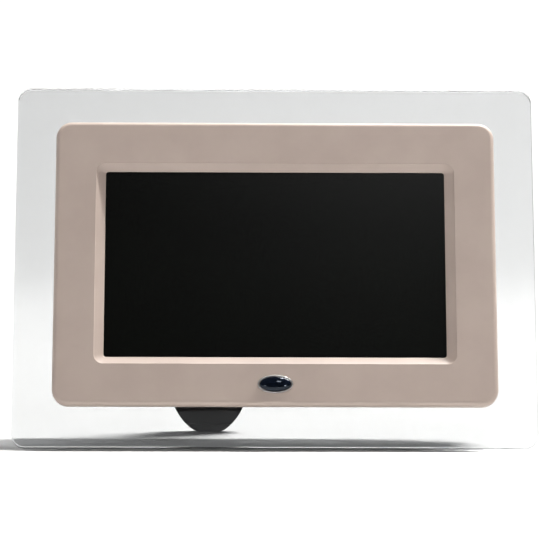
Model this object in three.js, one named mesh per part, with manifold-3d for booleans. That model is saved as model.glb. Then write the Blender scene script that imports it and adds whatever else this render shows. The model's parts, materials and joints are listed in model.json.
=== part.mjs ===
// A free-standing digital photo frame with a 7-inch wide screen: a pale bezel and a rear housing clamp a
// thick clear acrylic plate between them, and a tongue-shaped leg on a turntable props the frame up behind.
// Millimetres, +Z up, front towards -Y. Everything is laid out upright about the centre of the clear plate's
// front face, with x to the right, y to the rear and z up, and the finished frame is then leaned back.
import * as THREE from "three";
import { mergeVertices } from "three/addons/utils/BufferGeometryUtils.js";
import Module from "manifold-3d";

const wasm = await Module();
wasm.setup();

// ---- Driving dimensions ----

// Screen window and the front bezel round it.
const SCREEN_WIDTH = 155.4;
const SCREEN_HEIGHT = 87;
const WINDOW_CORNER = 1.3;
const WINDOW_LAND = 0.4; // straight edge behind the chamfer
const CHAMFER_RUN = 4;
const CHAMFER_DROP = 2.6;
const RECESS_CORNER = 4.2;
const BORDER_SIDE = 19;
const BORDER_END = 18.5;
const BEZEL_RISE = 5;
const BEZEL_CORNER = 7.5;
const BEZEL_ROUND = 2;
const BEZEL_WALL = 2;
const LENS_FROM_EDGE = 9.7; // receiver window's centre above the bezel's lower edge

// Clear plate, beyond the bezel on each side.
const SURROUND_SIDE = 18.3;
const SURROUND_END = 18.5;
const PLATE_THICK = 5;
const PLATE_CORNER = 6.5;
const PLATE_BEVEL = 0.4;

// LCD module: glass, folded metal frame and backlight.
const GLASS_OVERLAP = 1.3; // glass beyond the window on each side
const GLASS_THICK = 1.4;
const MODULE_SIDE = 4.8; // metal frame beyond the window
const MODULE_END = 8.5;
const MODULE_THICK = 5.4;
const SHEET_THICK = 0.5;
const CUTOUT_CLEARANCE = 1;

// Rear housing, measured inwards from the bezel's outline, with its tapered sides.
const HOUSING_DEPTH = 21.7;
const HOUSING_WALL = 2;
const HOUSING_CORNER = 11;
const HOUSING_ROUND = 2.4;
const HOUSING_INSET = { side: 2.7, bottom: 4.5, top: 3 };
const HOUSING_TAPER = { side: 2.5, bottom: 5, top: 4.5 };

// Stand.
const LEAN_DEG = 17.2; // the plate's lean from upright
const LEG_OPEN_DEG = 24; // between the open leg and the plate
const HUB_HEIGHT = 4; // turntable centre above the plate's centre
const TURNTABLE_RADIUS = 24;
const TURNTABLE_THICK = 2.2;
const SPIGOT_RADIUS = 15;
const RETAINER_RADIUS = 20;
const HINGE_RISE = 15; // hinge axis above the turntable's centre
const HINGE_OFFSET = 3.3; // hinge axis behind the turntable's face
const PIN_RADIUS = 1.1;
const EAR_THICK = 3;
const EAR_GAP = 24.4; // between the two ears
const LEG_THICK = 5;
const LEG_SKIN = 2;
const LEG_TOP_HALF = 17;
const LEG_TIP_HALF = 19.5;
const LEG_TIP_LENGTH = 30;
const PAD_LENGTH = 5;

// Electronics.
const BOARD_THICK = 1.6;
const BOARD_BEHIND_MODULE = 8;
const KEY_COUNT = 6;
const KEY_PITCH = 12;
const KEY_WIDTH = 8;
const KEY_HEIGHT = 5;
const KEY_PROUD = 0.8;
const KEY_TRAVEL = 0.6;
const KEY_FLANGE = 1; // how far the flange that holds a key in reaches past its cap
const KEYS_FROM_TOP = 14.5;
const KEYS_FROM_SIDE = 24;
const SWITCH_TRAVEL = 2.5;
const SPEAKER_LENGTH = 36;
const SPEAKER_HEIGHT = 17;

// Fasteners and fits.
const SCREW_RADIUS = 1.2;
const SCREW_HEAD_RADIUS = 2.4;
const SCREW_HEAD_THICK = 1.6;
const SMALL_SCREW_RADIUS = 1;
const SMALL_HEAD_RADIUS = 2.1;
const SMALL_HEAD_THICK = 1.3;
const SEAT = 0.3; // gap between pieces that seat on each other
const FIT = 0.3; // clearance round what passes through, turns or slides
const TRIM_FIT = 0.2; // clearance round the small trim in the bezel's face
const CLAMP_FROM_SIDE = 11.2; // clamping screws, inwards from the bezel's side edges
const CLAMP_FROM_SCREEN = 1.5; // and below the level of the screen's top edge
const CLAMP_SHOULDER = 3; // stock under a clamping screw's head
const CLAMP_POST_RADIUS = 4;
const BEZEL_BOSS_RADIUS = 3.2;
const BEZEL_SKIN = 1.6; // face left in front of a clamping screw's tip
const BOARD_POST_RADIUS = 2.6;
const BOARD_POST_INSET = 4;
const STAKE_RADIUS = 2.2;
const STAKE_PIN_RADIUS = 1.2;

// ---- Worked-out sizes ----

const LEAN = THREE.MathUtils.degToRad(LEAN_DEG);
const LEG_OPEN = THREE.MathUtils.degToRad(LEG_OPEN_DEG);
const LEG_LEAN = LEG_OPEN - LEAN; // the leg's lean from upright
const THROUGH = 1; // how far a cutting shape runs past the face it cuts

const recessWidth = SCREEN_WIDTH + 2 * CHAMFER_RUN;
const recessHeight = SCREEN_HEIGHT + 2 * CHAMFER_RUN;
const bezelWidth = recessWidth + 2 * BORDER_SIDE;
const bezelHeight = recessHeight + 2 * BORDER_END;
const plateWidth = bezelWidth + 2 * SURROUND_SIDE;
const plateHeight = bezelHeight + 2 * SURROUND_END;
const moduleWidth = SCREEN_WIDTH + 2 * MODULE_SIDE;
const moduleHeight = SCREEN_HEIGHT + 2 * MODULE_END;

// Depths, from the front to the rear.
const bezelFront = -BEZEL_RISE;
const recessFloor = bezelFront + CHAMFER_DROP;
const windowBack = recessFloor + WINDOW_LAND;
const moduleFront = windowBack + SEAT;
const moduleBack = moduleFront + MODULE_THICK;
const housingFront = PLATE_THICK + SEAT;
const housingBack = housingFront + HOUSING_DEPTH;
const rearWallInside = housingBack - HOUSING_WALL;
const boardFront = moduleBack + BOARD_BEHIND_MODULE;
const boardBack = boardFront + BOARD_THICK;
const onBoard = boardBack + SEAT;

// ---- Finishes ----

const finish = (color, roughness, metalness = 0) =>
  new THREE.MeshStandardMaterial({ color, roughness, metalness });
const clearAcrylic = new THREE.MeshStandardMaterial({
  color: 0xeef2f3,
  roughness: 0.04,
  transparent: true,
  opacity: 0.25,
});
const paleShell = finish(0xb3a59b, 0.38);
const silverTrim = finish(0xb9b9bb, 0.28, 0.9);
const darkLens = finish(0x0b0d14, 0.05);
const screenGlass = finish(0x0e100c, 0.12);
const blackPlastic = finish(0x17171a, 0.45);
const blackRubber = finish(0x121213, 0.8);
const steel = finish(0x9a9c9f, 0.35, 1);
const greenBoard = finish(0x1d5a34, 0.5);
const chipBlack = finish(0x1b1c1e, 0.6);
const whitePlastic = finish(0xdedcd4, 0.5);
const cableOrange = finish(0xb8772a, 0.5);
const copper = finish(0xa4622f, 0.4, 0.8);
const paperCone = finish(0x26262a, 0.85);

// ---- Shapes ----

function solid(geometry) {
  const bare = geometry.clone();
  bare.deleteAttribute("normal");
  bare.deleteAttribute("uv");
  const merged = mergeVertices(bare, 1e-4);
  const vertProperties = merged.attributes.position.array;
  const triVerts = new Uint32Array(merged.index.array);
  return new wasm.Manifold(new wasm.Mesh({ numProp: 3, vertProperties, triVerts }));
}

function geometryOf(made) {
  const { vertProperties, triVerts } = made.getMesh();
  const geometry = new THREE.BufferGeometry();
  geometry.setAttribute("position", new THREE.BufferAttribute(vertProperties, 3));
  geometry.setIndex(new THREE.BufferAttribute(triVerts, 1));
  return geometry;
}

// Closed outline of a rectangle with round corners, anticlockwise as seen from the front.
function roundedOutline({ left, right, bottom, top }, radius, steps = 6) {
  const points = [];
  const corners = [
    [right - radius, top - radius],
    [left + radius, top - radius],
    [left + radius, bottom + radius],
    [right - radius, bottom + radius],
  ];
  corners.forEach(([x, z], quarter) => {
    for (let i = 0; i <= steps; i++) {
      const angle = ((quarter + i / steps) * Math.PI) / 2;
      points.push(new THREE.Vector2(x + radius * Math.cos(angle), z + radius * Math.sin(angle)));
    }
  });
  return points;
}

const sides = (width, height, x = 0, z = 0) => ({
  left: x - width / 2,
  right: x + width / 2,
  bottom: z - height / 2,
  top: z + height / 2,
});
const grown = (edges, by) => ({
  left: edges.left - by,
  right: edges.right + by,
  bottom: edges.bottom - by,
  top: edges.top + by,
});

function ellipseOutline(halfWidth, halfHeight, x, z, steps = 32) {
  const curve = new THREE.EllipseCurve(x, z, halfWidth, halfHeight);
  return curve.getPoints(steps).slice(0, steps);
}

// A body through outlines of equal point count, each at its own depth, from the front to the rear.
function loft(sections) {
  const positions = sections.flatMap(([outline, y]) => outline.flatMap((p) => [p.x, y, p.y]));
  const count = sections[0][0].length;
  const index = [];
  for (let s = 0; s + 1 < sections.length; s++) {
    for (let i = 0; i < count; i++) {
      const next = (i + 1) % count;
      const [a, b] = [s * count + i, s * count + next];
      index.push(a, a + count, b + count, a, b + count, b);
    }
  }
  const last = (sections.length - 1) * count;
  for (const [a, b, c] of THREE.ShapeUtils.triangulateShape(sections[0][0], [])) index.push(a, b, c);
  for (const [a, b, c] of THREE.ShapeUtils.triangulateShape(sections.at(-1)[0], [])) {
    index.push(last + a, last + c, last + b);
  }
  const geometry = new THREE.BufferGeometry();
  geometry.setAttribute("position", new THREE.Float32BufferAttribute(positions, 3));
  geometry.setIndex(index);
  return solid(geometry);
}

const slab = (outline, front, back) => loft([[outline, front], [outline, back]]);

function block(x0, x1, y0, y1, z0, z1) {
  const geometry = new THREE.BoxGeometry(x1 - x0, y1 - y0, z1 - z0);
  return solid(geometry.translate((x0 + x1) / 2, (y0 + y1) / 2, (z0 + z1) / 2));
}

// A turned body about a line along y through (x, z); the profile is [radius, y] from the front axis point on.
function turned(profile, x = 0, z = 0, segments = 24) {
  const points = profile.map(([radius, y]) => new THREE.Vector2(radius, y));
  return solid(new THREE.LatheGeometry(points, segments).translate(x, 0, z));
}

const disc = (radius, front, back, x, z, segments = 24) =>
  turned([[0, front], [radius, front], [radius, back], [0, back]], x, z, segments);

// A rod along x.
function crossRod(radius, x0, x1, y, z, segments = 24) {
  const geometry = new THREE.CylinderGeometry(radius, radius, x1 - x0, segments);
  return solid(geometry.rotateZ(Math.PI / 2).translate((x0 + x1) / 2, y, z));
}

const cut = (body, ...tools) => tools.reduce((made, tool) => made.subtract(tool), body);
const joined = (...bodies) => bodies.reduce((made, body) => made.add(body));

// A screw along y with its head at the front or at the rear, and a cross recess in the head.
function screw({ x, z, seat, tip, radius, headRadius, headThick }) {
  const rearHead = tip < seat;
  const headEnd = rearHead ? seat + headThick : seat - headThick;
  const shank = disc(radius, Math.min(seat, tip), Math.max(seat, tip), x, z, 12);
  const head = disc(headRadius, Math.min(seat, headEnd), Math.max(seat, headEnd), x, z, 20);
  const arm = headRadius * 0.62;
  const slot = headRadius * 0.16;
  const floor = headEnd + (rearHead ? -headThick * 0.55 : headThick * 0.55);
  const [y0, y1] = rearHead ? [floor, headEnd + THROUGH] : [headEnd - THROUGH, floor];
  const recess = joined(
    block(x - arm, x + arm, y0, y1, z - slot, z + slot),
    block(x - slot, x + slot, y0, y1, z - arm, z + arm),
  );
  return cut(joined(shank, head), recess);
}

// A flat ribbon that follows points [y, z], with its width along x.
function ribbon(points, thickness, x0, x1, steps = 14) {
  const curve = new THREE.SplineCurve(points.map(([y, z]) => new THREE.Vector2(y, z)));
  const edge = (side) =>
    Array.from({ length: steps + 1 }, (_, i) => {
      const tangent = curve.getTangent(i / steps);
      const normal = new THREE.Vector2(-tangent.y, tangent.x).multiplyScalar((side * thickness) / 2);
      return curve.getPoint(i / steps).add(normal);
    });
  const shape = new THREE.Shape([...edge(-1), ...edge(1).reverse()]);
  const geometry = new THREE.ExtrudeGeometry(shape, { depth: x1 - x0, bevelEnabled: false });
  // The shape's own axes become y and z, and it is drawn out along x.
  const turn = new THREE.Matrix4().makeBasis(
    new THREE.Vector3(0, 1, 0),
    new THREE.Vector3(0, 0, 1),
    new THREE.Vector3(1, 0, 0),
  );
  return solid(geometry.applyMatrix4(turn).translate(x0, 0, 0));
}

// A round lead along points [x, y, z].
function lead(points, radius, steps = 16) {
  const path = new THREE.CatmullRomCurve3(points.map((p) => new THREE.Vector3(...p)));
  const section = new THREE.Shape(new THREE.EllipseCurve(0, 0, radius, radius).getPoints(8).slice(0, 8));
  return solid(new THREE.ExtrudeGeometry(section, { steps, extrudePath: path, bevelEnabled: false }));
}

// ---- The bodies' groups ----

const frame = new THREE.Group();

function add(group, name, shape, material) {
  const mesh = new THREE.Mesh(shape.isBufferGeometry ? shape : geometryOf(shape), material);
  mesh.name = name;
  group.add(mesh);
  return mesh;
}

// ---- Screws through housing, plate and bezel ----

const clampX = bezelWidth / 2 - CLAMP_FROM_SIDE;
const clampZ = SCREEN_HEIGHT / 2 - CLAMP_FROM_SCREEN;
const clampPlaces = [
  [-clampX, clampZ],
  [clampX, clampZ],
  [-clampX, -clampZ],
  [clampX, -clampZ],
];
const clampSeat = housingFront + CLAMP_SHOULDER; // the shoulder in each post that a head pulls on
const clampTip = bezelFront + BEZEL_SKIN;

// ---- Receiver window in the lower border ----

const lensZ = -bezelHeight / 2 + LENS_FROM_EDGE;
const LENS_HALF_WIDTH = 7.05;
const LENS_HALF_HEIGHT = 3.3;
const RIM_HALF_WIDTH = 8;
const RIM_HALF_HEIGHT = 4.15;
const RIM_WALL = 0.75;
const RIM_PROUD = 0.5;
const RIM_EASE = 0.25;
const LENS_RISE = 1.4;
const LENS_DOME_START = 0.2; // the dome starts this far in front of the bezel's face
const LENS_POCKET = 0.8; // depth of the pocket in the bezel's face
const LENS_LEDGE = 1.1; // shelf round the light hole that the lens sits on
const pocketFloor = bezelFront + LENS_POCKET;

// Infrared receiver behind the lens, and the room round it.
const receiverHalf = 2.8;
const receiverFront = bezelFront + BEZEL_WALL + 0.4;
const receiverDepth = 4.2;
const receiverEye = 1.8;
const notchRoom = 3;

// ---- Clear plate ----

const cutout = grown(sides(moduleWidth, moduleHeight), CUTOUT_CLEARANCE);
const receiverNotch = {
  left: -receiverHalf - notchRoom,
  right: receiverHalf + notchRoom,
  bottom: lensZ - receiverHalf - 2,
  top: cutout.bottom + notchRoom,
};

function clearPlate() {
  const outer = sides(plateWidth, plateHeight);
  const edge = roundedOutline(outer, PLATE_CORNER, 8);
  const eased = roundedOutline(grown(outer, -PLATE_BEVEL), PLATE_CORNER - PLATE_BEVEL, 8);
  const body = loft([
    [eased, 0],
    [edge, PLATE_BEVEL],
    [edge, PLATE_THICK - PLATE_BEVEL],
    [eased, PLATE_THICK],
  ]);
  const holes = clampPlaces.map(([x, z]) =>
    disc(SCREW_RADIUS + FIT, -THROUGH, PLATE_THICK + THROUGH, x, z, 16),
  );
  return cut(
    body,
    slab(roundedOutline(cutout, 2, 3), -THROUGH, PLATE_THICK + THROUGH),
    slab(roundedOutline(receiverNotch, 1, 3), -THROUGH, PLATE_THICK + THROUGH),
    ...holes,
  );
}
add(frame, "clear_surround_plate", clearPlate(), clearAcrylic);

// ---- Front bezel: a thin moulded shell with a rolled edge and a chamfered recess ----

function frontBezel() {
  const outer = sides(bezelWidth, bezelHeight);
  const back = -SEAT;
  const rolled = [0, 1, 2, 3].map((i) => {
    const angle = (i / 3) * (Math.PI / 2);
    const inset = BEZEL_ROUND * (1 - Math.sin(angle));
    const y = bezelFront + BEZEL_ROUND * (1 - Math.cos(angle));
    return [roundedOutline(grown(outer, -inset), BEZEL_CORNER - inset, 8), y];
  });
  const shell = loft([...rolled, [roundedOutline(outer, BEZEL_CORNER, 8), back]]);
  // Hollow behind the face, with solid stock left behind the chamfer.
  const hollow = roundedOutline(grown(outer, -BEZEL_WALL), BEZEL_CORNER - BEZEL_WALL, 6);
  const faceBack = bezelFront + BEZEL_WALL;
  const collarEdges = sides(recessWidth + 2 * BEZEL_WALL, recessHeight + 2 * BEZEL_WALL);
  const collar = slab(roundedOutline(collarEdges, RECESS_CORNER, 6), faceBack - THROUGH, windowBack);
  const bosses = clampPlaces.map(([x, z]) => disc(BEZEL_BOSS_RADIUS, faceBack - THROUGH, back, x, z, 20));
  const pilots = clampPlaces.map(([x, z]) => disc(SCREW_RADIUS + FIT, clampTip - SEAT, THROUGH, x, z, 12));
  // The chamfer is drawn on past the face so that the cut is clean.
  const flare = THROUGH / CHAMFER_DROP;
  const mouth = grown(sides(recessWidth, recessHeight), CHAMFER_RUN * flare);
  const mouthCorner = RECESS_CORNER + (RECESS_CORNER - WINDOW_CORNER) * flare;
  const windowOutline = roundedOutline(sides(SCREEN_WIDTH, SCREEN_HEIGHT), WINDOW_CORNER, 6);
  const recess = loft([
    [roundedOutline(mouth, mouthCorner, 6), bezelFront - THROUGH],
    [windowOutline, recessFloor],
    [windowOutline, THROUGH],
  ]);
  const pocketWidth = RIM_HALF_WIDTH + TRIM_FIT;
  const pocketHeight = RIM_HALF_HEIGHT + TRIM_FIT;
  const lightHole = ellipseOutline(LENS_HALF_WIDTH - LENS_LEDGE, LENS_HALF_HEIGHT - LENS_LEDGE, 0, lensZ, 24);
  return cut(
    joined(cut(shell, slab(hollow, faceBack, THROUGH)), collar, ...bosses),
    recess,
    ...pilots,
    slab(ellipseOutline(pocketWidth, pocketHeight, 0, lensZ), bezelFront - THROUGH, pocketFloor),
    slab(lightHole, pocketFloor - THROUGH, THROUGH),
  );
}
add(frame, "front_bezel", frontBezel(), paleShell);

function receiverRim() {
  const back = pocketFloor - SEAT;
  const front = bezelFront - RIM_PROUD;
  const ring = (inset, y) => [
    ellipseOutline(RIM_HALF_WIDTH - inset, RIM_HALF_HEIGHT - inset, 0, lensZ),
    y,
  ];
  const body = loft([ring(RIM_EASE, front), ring(0, front + RIM_EASE), ring(0, back)]);
  const bore = ellipseOutline(RIM_HALF_WIDTH - RIM_WALL, RIM_HALF_HEIGHT - RIM_WALL, 0, lensZ);
  return cut(body, slab(bore, front - THROUGH, back + THROUGH));
}
add(frame, "receiver_lens_rim", receiverRim(), silverTrim);

function receiverLens() {
  const steps = 5;
  const start = bezelFront - LENS_DOME_START;
  const dome = Array.from({ length: steps }, (_, i) => {
    const angle = (Math.PI / 2) * (1 - (i + 0.35) / steps);
    const share = Math.cos(angle);
    const outline = ellipseOutline(LENS_HALF_WIDTH * share, LENS_HALF_HEIGHT * share, 0, lensZ);
    return [outline, start - LENS_RISE * Math.sin(angle)];
  });
  const base = ellipseOutline(LENS_HALF_WIDTH, LENS_HALF_HEIGHT, 0, lensZ);
  return loft([...dome, [base, start], [base, pocketFloor - SEAT]]);
}
add(frame, "receiver_lens", receiverLens(), darkLens);

function infraredReceiver() {
  const face = receiverFront + 1;
  const back = receiverFront + receiverDepth;
  const body = block(-receiverHalf, receiverHalf, face, back, lensZ - receiverHalf, lensZ + receiverHalf);
  const profile = [
    [0, receiverFront],
    [receiverEye * 0.6, receiverFront + 0.25],
    [receiverEye, face],
    [receiverEye, face + THROUGH],
    [0, face + THROUGH],
  ];
  return joined(body, turned(profile, 0, lensZ, 16));
}
add(frame, "ir_receiver", infraredReceiver(), chipBlack);

// ---- LCD module ----

const glassWidth = SCREEN_WIDTH + 2 * GLASS_OVERLAP;
const glassHeight = SCREEN_HEIGHT + 2 * GLASS_OVERLAP;
const glassBack = moduleFront + GLASS_THICK;
const flangeFront = moduleFront + SEAT;
const flangeBack = flangeFront + SHEET_THICK;
const backlightWidth = moduleWidth - 2 * (SHEET_THICK + FIT);
const backlightHeight = moduleHeight - 2 * (SHEET_THICK + FIT);

add(
  frame,
  "lcd_glass",
  slab(roundedOutline(sides(glassWidth, glassHeight), 0.8, 2), moduleFront, glassBack),
  screenGlass,
);

function lcdMetalFrame() {
  const tray = slab(roundedOutline(sides(moduleWidth, moduleHeight), 1.2, 2), flangeFront, moduleBack - 0.4);
  const inside = grown(sides(moduleWidth, moduleHeight), -SHEET_THICK);
  const opening = grown(sides(glassWidth, glassHeight), FIT);
  return cut(
    tray,
    slab(roundedOutline(inside, 0.7, 2), flangeBack, moduleBack + THROUGH),
    slab(roundedOutline(opening, 1.1, 2), flangeFront - THROUGH, flangeBack + THROUGH),
  );
}
add(frame, "lcd_metal_frame", lcdMetalFrame(), steel);
add(
  frame,
  "lcd_backlight",
  slab(roundedOutline(sides(backlightWidth, backlightHeight), 0.6, 2), glassBack + SEAT, moduleBack),
  whitePlastic,
);

// ---- Rear housing ----

// The housing's outline at a depth, from the front (0) to the rear (1), and inside its wall.
function housingEdges(share, inset = 0) {
  const side = bezelWidth / 2 - HOUSING_INSET.side - HOUSING_TAPER.side * share - inset;
  return {
    left: -side,
    right: side,
    bottom: -bezelHeight / 2 + HOUSING_INSET.bottom + HOUSING_TAPER.bottom * share + inset,
    top: bezelHeight / 2 - HOUSING_INSET.top - HOUSING_TAPER.top * share - inset,
  };
}
const depthShare = (y) => (y - housingFront) / HOUSING_DEPTH;
const sideWall = (y) => housingEdges(depthShare(y)).right;
const rearEdges = housingEdges(1);
const innerSide = (y) => sideWall(y) - HOUSING_WALL;

// Turntable: as far from the plate's left edge as from its bottom edge, so the frame stands either way up.
const hubZ = HUB_HEIGHT;
const hubX = -(plateWidth / 2 - (plateHeight / 2 + hubZ));
const turntableFront = housingBack + SEAT;
const turntableBack = turntableFront + TURNTABLE_THICK;
const spigotEnd = rearWallInside - SEAT;
const retainerBack = spigotEnd - SEAT;
const retainerThick = 1.5;
const retainerFront = retainerBack - retainerThick;

// Main board: between the turntable and the sockets in the right-hand wall.
const board = {
  left: hubX + TURNTABLE_RADIUS + 5,
  right: innerSide(boardBack) - 3.4,
  bottom: -SCREEN_HEIGHT / 2 + 9.5,
  top: SCREEN_HEIGHT / 2 - 8.5,
};
const SOCKET_STRIP = 21; // width at the board's right edge that the sockets take up
const boardPosts = [board.left + BOARD_POST_INSET, board.right - SOCKET_STRIP].flatMap((x) => [
  [x, board.bottom + BOARD_POST_INSET],
  [x, board.top - BOARD_POST_INSET],
]);

// Sockets in the right-hand wall: centre height, size along z and depth along y.
const sockets = {
  dc: { z: 18, wide: 8, tall: 6.5, long: 12 },
  phones: { z: 8, wide: 6.4, tall: 5, long: 12 },
  mini: { z: -1.5, wide: 7.8, tall: 4, long: 9 },
  usb: { z: -15.5, wide: 13.4, tall: 7, long: 14 },
};
const cardSlot = { z: -8, wide: 24.8, tall: 2.6, bodyWide: 28, bodyTall: 3.4, bodyLong: 28 };
const cardBack = boardFront - SEAT;
const cardMiddle = cardBack - cardSlot.bodyTall / 2;
const powerSwitch = { z: 28.5, wide: 9, tall: 4.4, long: 4.6 };
const knobWide = 3;
const knobTall = 2.4;
const knobDepth = onBoard + powerSwitch.tall / 2;
const boardScrewReach = 5;

// Keys in a row near the top of the rear face.
const keyZ = rearEdges.top - KEYS_FROM_TOP;
const firstKeyX = rearEdges.right - KEYS_FROM_SIDE - (KEY_COUNT - 1) * KEY_PITCH;
const keyPlaces = Array.from({ length: KEY_COUNT }, (_, i) => firstKeyX + i * KEY_PITCH);
const keyFlangeBack = rearWallInside - SEAT;
const keyFlangeThick = 0.6;
const keySlack = 0.2; // left under a key's flange when it is pressed home
const switchTop = keyFlangeBack - keyFlangeThick - KEY_TRAVEL - keySlack;
const switchBody = 3.3;
const switchWide = 6;
const keyBoardBack = switchTop - switchBody - SEAT;
const keyBoardThick = 1.2;
const keyBoardFront = keyBoardBack - keyBoardThick;
// The key board hangs on two stakes, one past each end of the row.
const stakeReach = KEY_WIDTH / 2 + KEY_FLANGE + STAKE_RADIUS + 0.8;
const stakePlaces = [
  [firstKeyX - stakeReach, keyZ],
  [keyPlaces.at(-1) + stakeReach, keyZ],
];
const keyBoardMargin = 2.5;
const keyBoardHalf = 6;
const keyBoard = {
  left: stakePlaces[0][0] - keyBoardMargin,
  right: stakePlaces[1][0] + keyBoardMargin,
  bottom: keyZ - keyBoardHalf,
  top: keyZ + keyBoardHalf,
};

// Shallow recess in the rear face for the rating label, between the vents and the right-hand speaker.
const LABEL_WIDTH = 50;
const LABEL_HEIGHT = 26;
const LABEL_DEPTH = 0.3;
const boardMiddle = (board.left + board.right) / 2;
const label = sides(LABEL_WIDTH, LABEL_HEIGHT, boardMiddle, board.bottom + 6 + LABEL_HEIGHT / 2);

const speakerX = clampX - CLAMP_POST_RADIUS - 1.9 - SPEAKER_LENGTH / 2;
const speakerZ = rearEdges.bottom + HOUSING_WALL + SPEAKER_HEIGHT / 2 + 0.8;
const speakerBack = rearWallInside - SEAT;
const speakerSlots = { count: 8, pitch: 3.8, width: 1.8, height: SPEAKER_HEIGHT - 5 };
const ventSlots = { count: 9, pitch: 5, width: 2, height: 11 };

function slots({ count, pitch, width, height }, x, z) {
  return Array.from({ length: count }, (_, i) => {
    const at = x + (i - (count - 1) / 2) * pitch;
    const outline = roundedOutline(sides(width, height, at, z), width / 2, 3);
    return slab(outline, rearWallInside - THROUGH, housingBack + THROUGH);
  });
}

function rearHousing() {
  const straight = housingBack - HOUSING_ROUND;
  const rolled = [0, 1, 2, 3].map((i) => {
    const angle = (i / 3) * (Math.PI / 2);
    const inset = HOUSING_ROUND * (1 - Math.cos(angle));
    const y = straight + HOUSING_ROUND * Math.sin(angle);
    return [roundedOutline(housingEdges(depthShare(y), inset), HOUSING_CORNER - inset, 6), y];
  });
  const shell = loft([[roundedOutline(housingEdges(0), HOUSING_CORNER, 6), housingFront], ...rolled]);
  const inside = (y) => {
    const edges = housingEdges(depthShare(y), HOUSING_WALL);
    return [roundedOutline(edges, HOUSING_CORNER - HOUSING_WALL, 6), y];
  };
  const hollow = loft([inside(housingFront - THROUGH), inside(rearWallInside)]);
  const into = rearWallInside + THROUGH;
  const clampPosts = clampPlaces.map(([x, z]) => disc(CLAMP_POST_RADIUS, housingFront, into, x, z, 20));
  const posts = boardPosts.map(([x, z]) => disc(BOARD_POST_RADIUS, onBoard, into, x, z, 16));
  const stakes = stakePlaces.flatMap(([x, z]) => [
    disc(STAKE_RADIUS, keyBoardBack + SEAT, into, x, z, 16),
    disc(STAKE_PIN_RADIUS, keyBoardFront - 0.5, into, x, z, 12),
  ]);
  const clampHoles = clampPlaces.flatMap(([x, z]) => [
    disc(SCREW_RADIUS + FIT, housingFront - THROUGH, into, x, z, 12),
    disc(SCREW_HEAD_RADIUS + FIT, clampSeat - SEAT, housingBack + THROUGH, x, z, 20),
  ]);
  const pilots = boardPosts.map(([x, z]) =>
    disc(SMALL_SCREW_RADIUS + FIT, onBoard - THROUGH, onBoard + boardScrewReach + 1, x, z, 12),
  );
  const keyHoles = keyPlaces.map((x) =>
    slab(
      roundedOutline(grown(sides(KEY_WIDTH, KEY_HEIGHT, x, keyZ), FIT), 1.4, 3),
      rearWallInside - THROUGH,
      housingBack + THROUGH,
    ),
  );
  const outside = rearEdges.right + HOUSING_TAPER.side + THROUGH;
  const wallHoles = Object.values(sockets).map(({ z, wide, tall }) => {
    const start = innerSide(onBoard + tall) - THROUGH;
    return block(start, outside, onBoard - FIT, onBoard + tall + FIT, z - wide / 2 - FIT, z + wide / 2 + FIT);
  });
  const cardHole = block(
    innerSide(cardMiddle) - THROUGH,
    outside,
    cardMiddle - cardSlot.tall / 2 - FIT,
    cardMiddle + cardSlot.tall / 2 + FIT,
    cardSlot.z - cardSlot.wide / 2 - FIT,
    cardSlot.z + cardSlot.wide / 2 + FIT,
  );
  const knobHalf = (knobWide + SWITCH_TRAVEL) / 2 + FIT;
  const knobHole = block(
    innerSide(knobDepth) - THROUGH,
    outside,
    knobDepth - knobTall / 2 - FIT,
    knobDepth + knobTall / 2 + FIT,
    powerSwitch.z - knobHalf,
    powerSwitch.z + knobHalf,
  );
  return cut(
    joined(cut(shell, hollow), ...clampPosts, ...posts, ...stakes),
    ...clampHoles,
    ...pilots,
    disc(SPIGOT_RADIUS + FIT, rearWallInside - THROUGH, housingBack + THROUGH, hubX, hubZ, 40),
    ...keyHoles,
    ...wallHoles,
    cardHole,
    knobHole,
    block(label.left, label.right, housingBack - LABEL_DEPTH, housingBack + THROUGH, label.bottom, label.top),
    ...slots(speakerSlots, -speakerX, speakerZ),
    ...slots(speakerSlots, speakerX, speakerZ),
    ...slots(ventSlots, boardMiddle, board.top - 13),
  );
}
add(frame, "rear_housing", rearHousing(), blackPlastic);

clampPlaces.forEach(([x, z], i) => {
  const sizes = { radius: SCREW_RADIUS, headRadius: SCREW_HEAD_RADIUS, headThick: SCREW_HEAD_THICK };
  add(frame, `housing_screw_${i + 1}`, screw({ x, z, seat: clampSeat, tip: clampTip, ...sizes }), steel);
});

// ---- Main board and what is soldered to it ----

function mainBoard() {
  const holes = boardPosts.map(([x, z]) =>
    disc(SMALL_SCREW_RADIUS + FIT, boardFront - THROUGH, boardBack + THROUGH, x, z, 12),
  );
  return cut(slab(roundedOutline(board, 1, 2), boardFront, boardBack), ...holes);
}
add(frame, "main_board", mainBoard(), greenBoard);

boardPosts.forEach(([x, z], i) => {
  const sizes = { radius: SMALL_SCREW_RADIUS, headRadius: SMALL_HEAD_RADIUS, headThick: SMALL_HEAD_THICK };
  const body = screw({ x, z, seat: boardFront - SEAT, tip: onBoard + boardScrewReach, ...sizes });
  add(frame, `board_screw_${i + 1}`, body, steel);
});

const chip = (width, height, thick, x, z) =>
  slab(roundedOutline(sides(width, height, x, z), 0.4, 1), onBoard, onBoard + thick);
const partsX = board.right - SOCKET_STRIP - 15;
add(frame, "processor_chip", chip(20, 20, 1.5, partsX, -2), chipBlack);
add(frame, "memory_chip_1", chip(9, 13, 1.2, partsX - 17, 4), chipBlack);
add(frame, "memory_chip_2", chip(12, 8, 1.2, partsX, 16), chipBlack);
add(frame, "backlight_inductor", disc(3.6, onBoard, onBoard + 4, partsX - 16, -12, 16), copper);
[
  [partsX - 17, 19],
  [partsX + 13, 22],
].forEach(([x, z], i) => {
  const top = onBoard + 7;
  const profile = [[0, onBoard], [2.6, onBoard], [2.6, top - 0.4], [2.2, top], [0, top]];
  add(frame, `capacitor_${i + 1}`, turned(profile, x, z, 16), silverTrim);
});

// ---- Sockets ----

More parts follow.
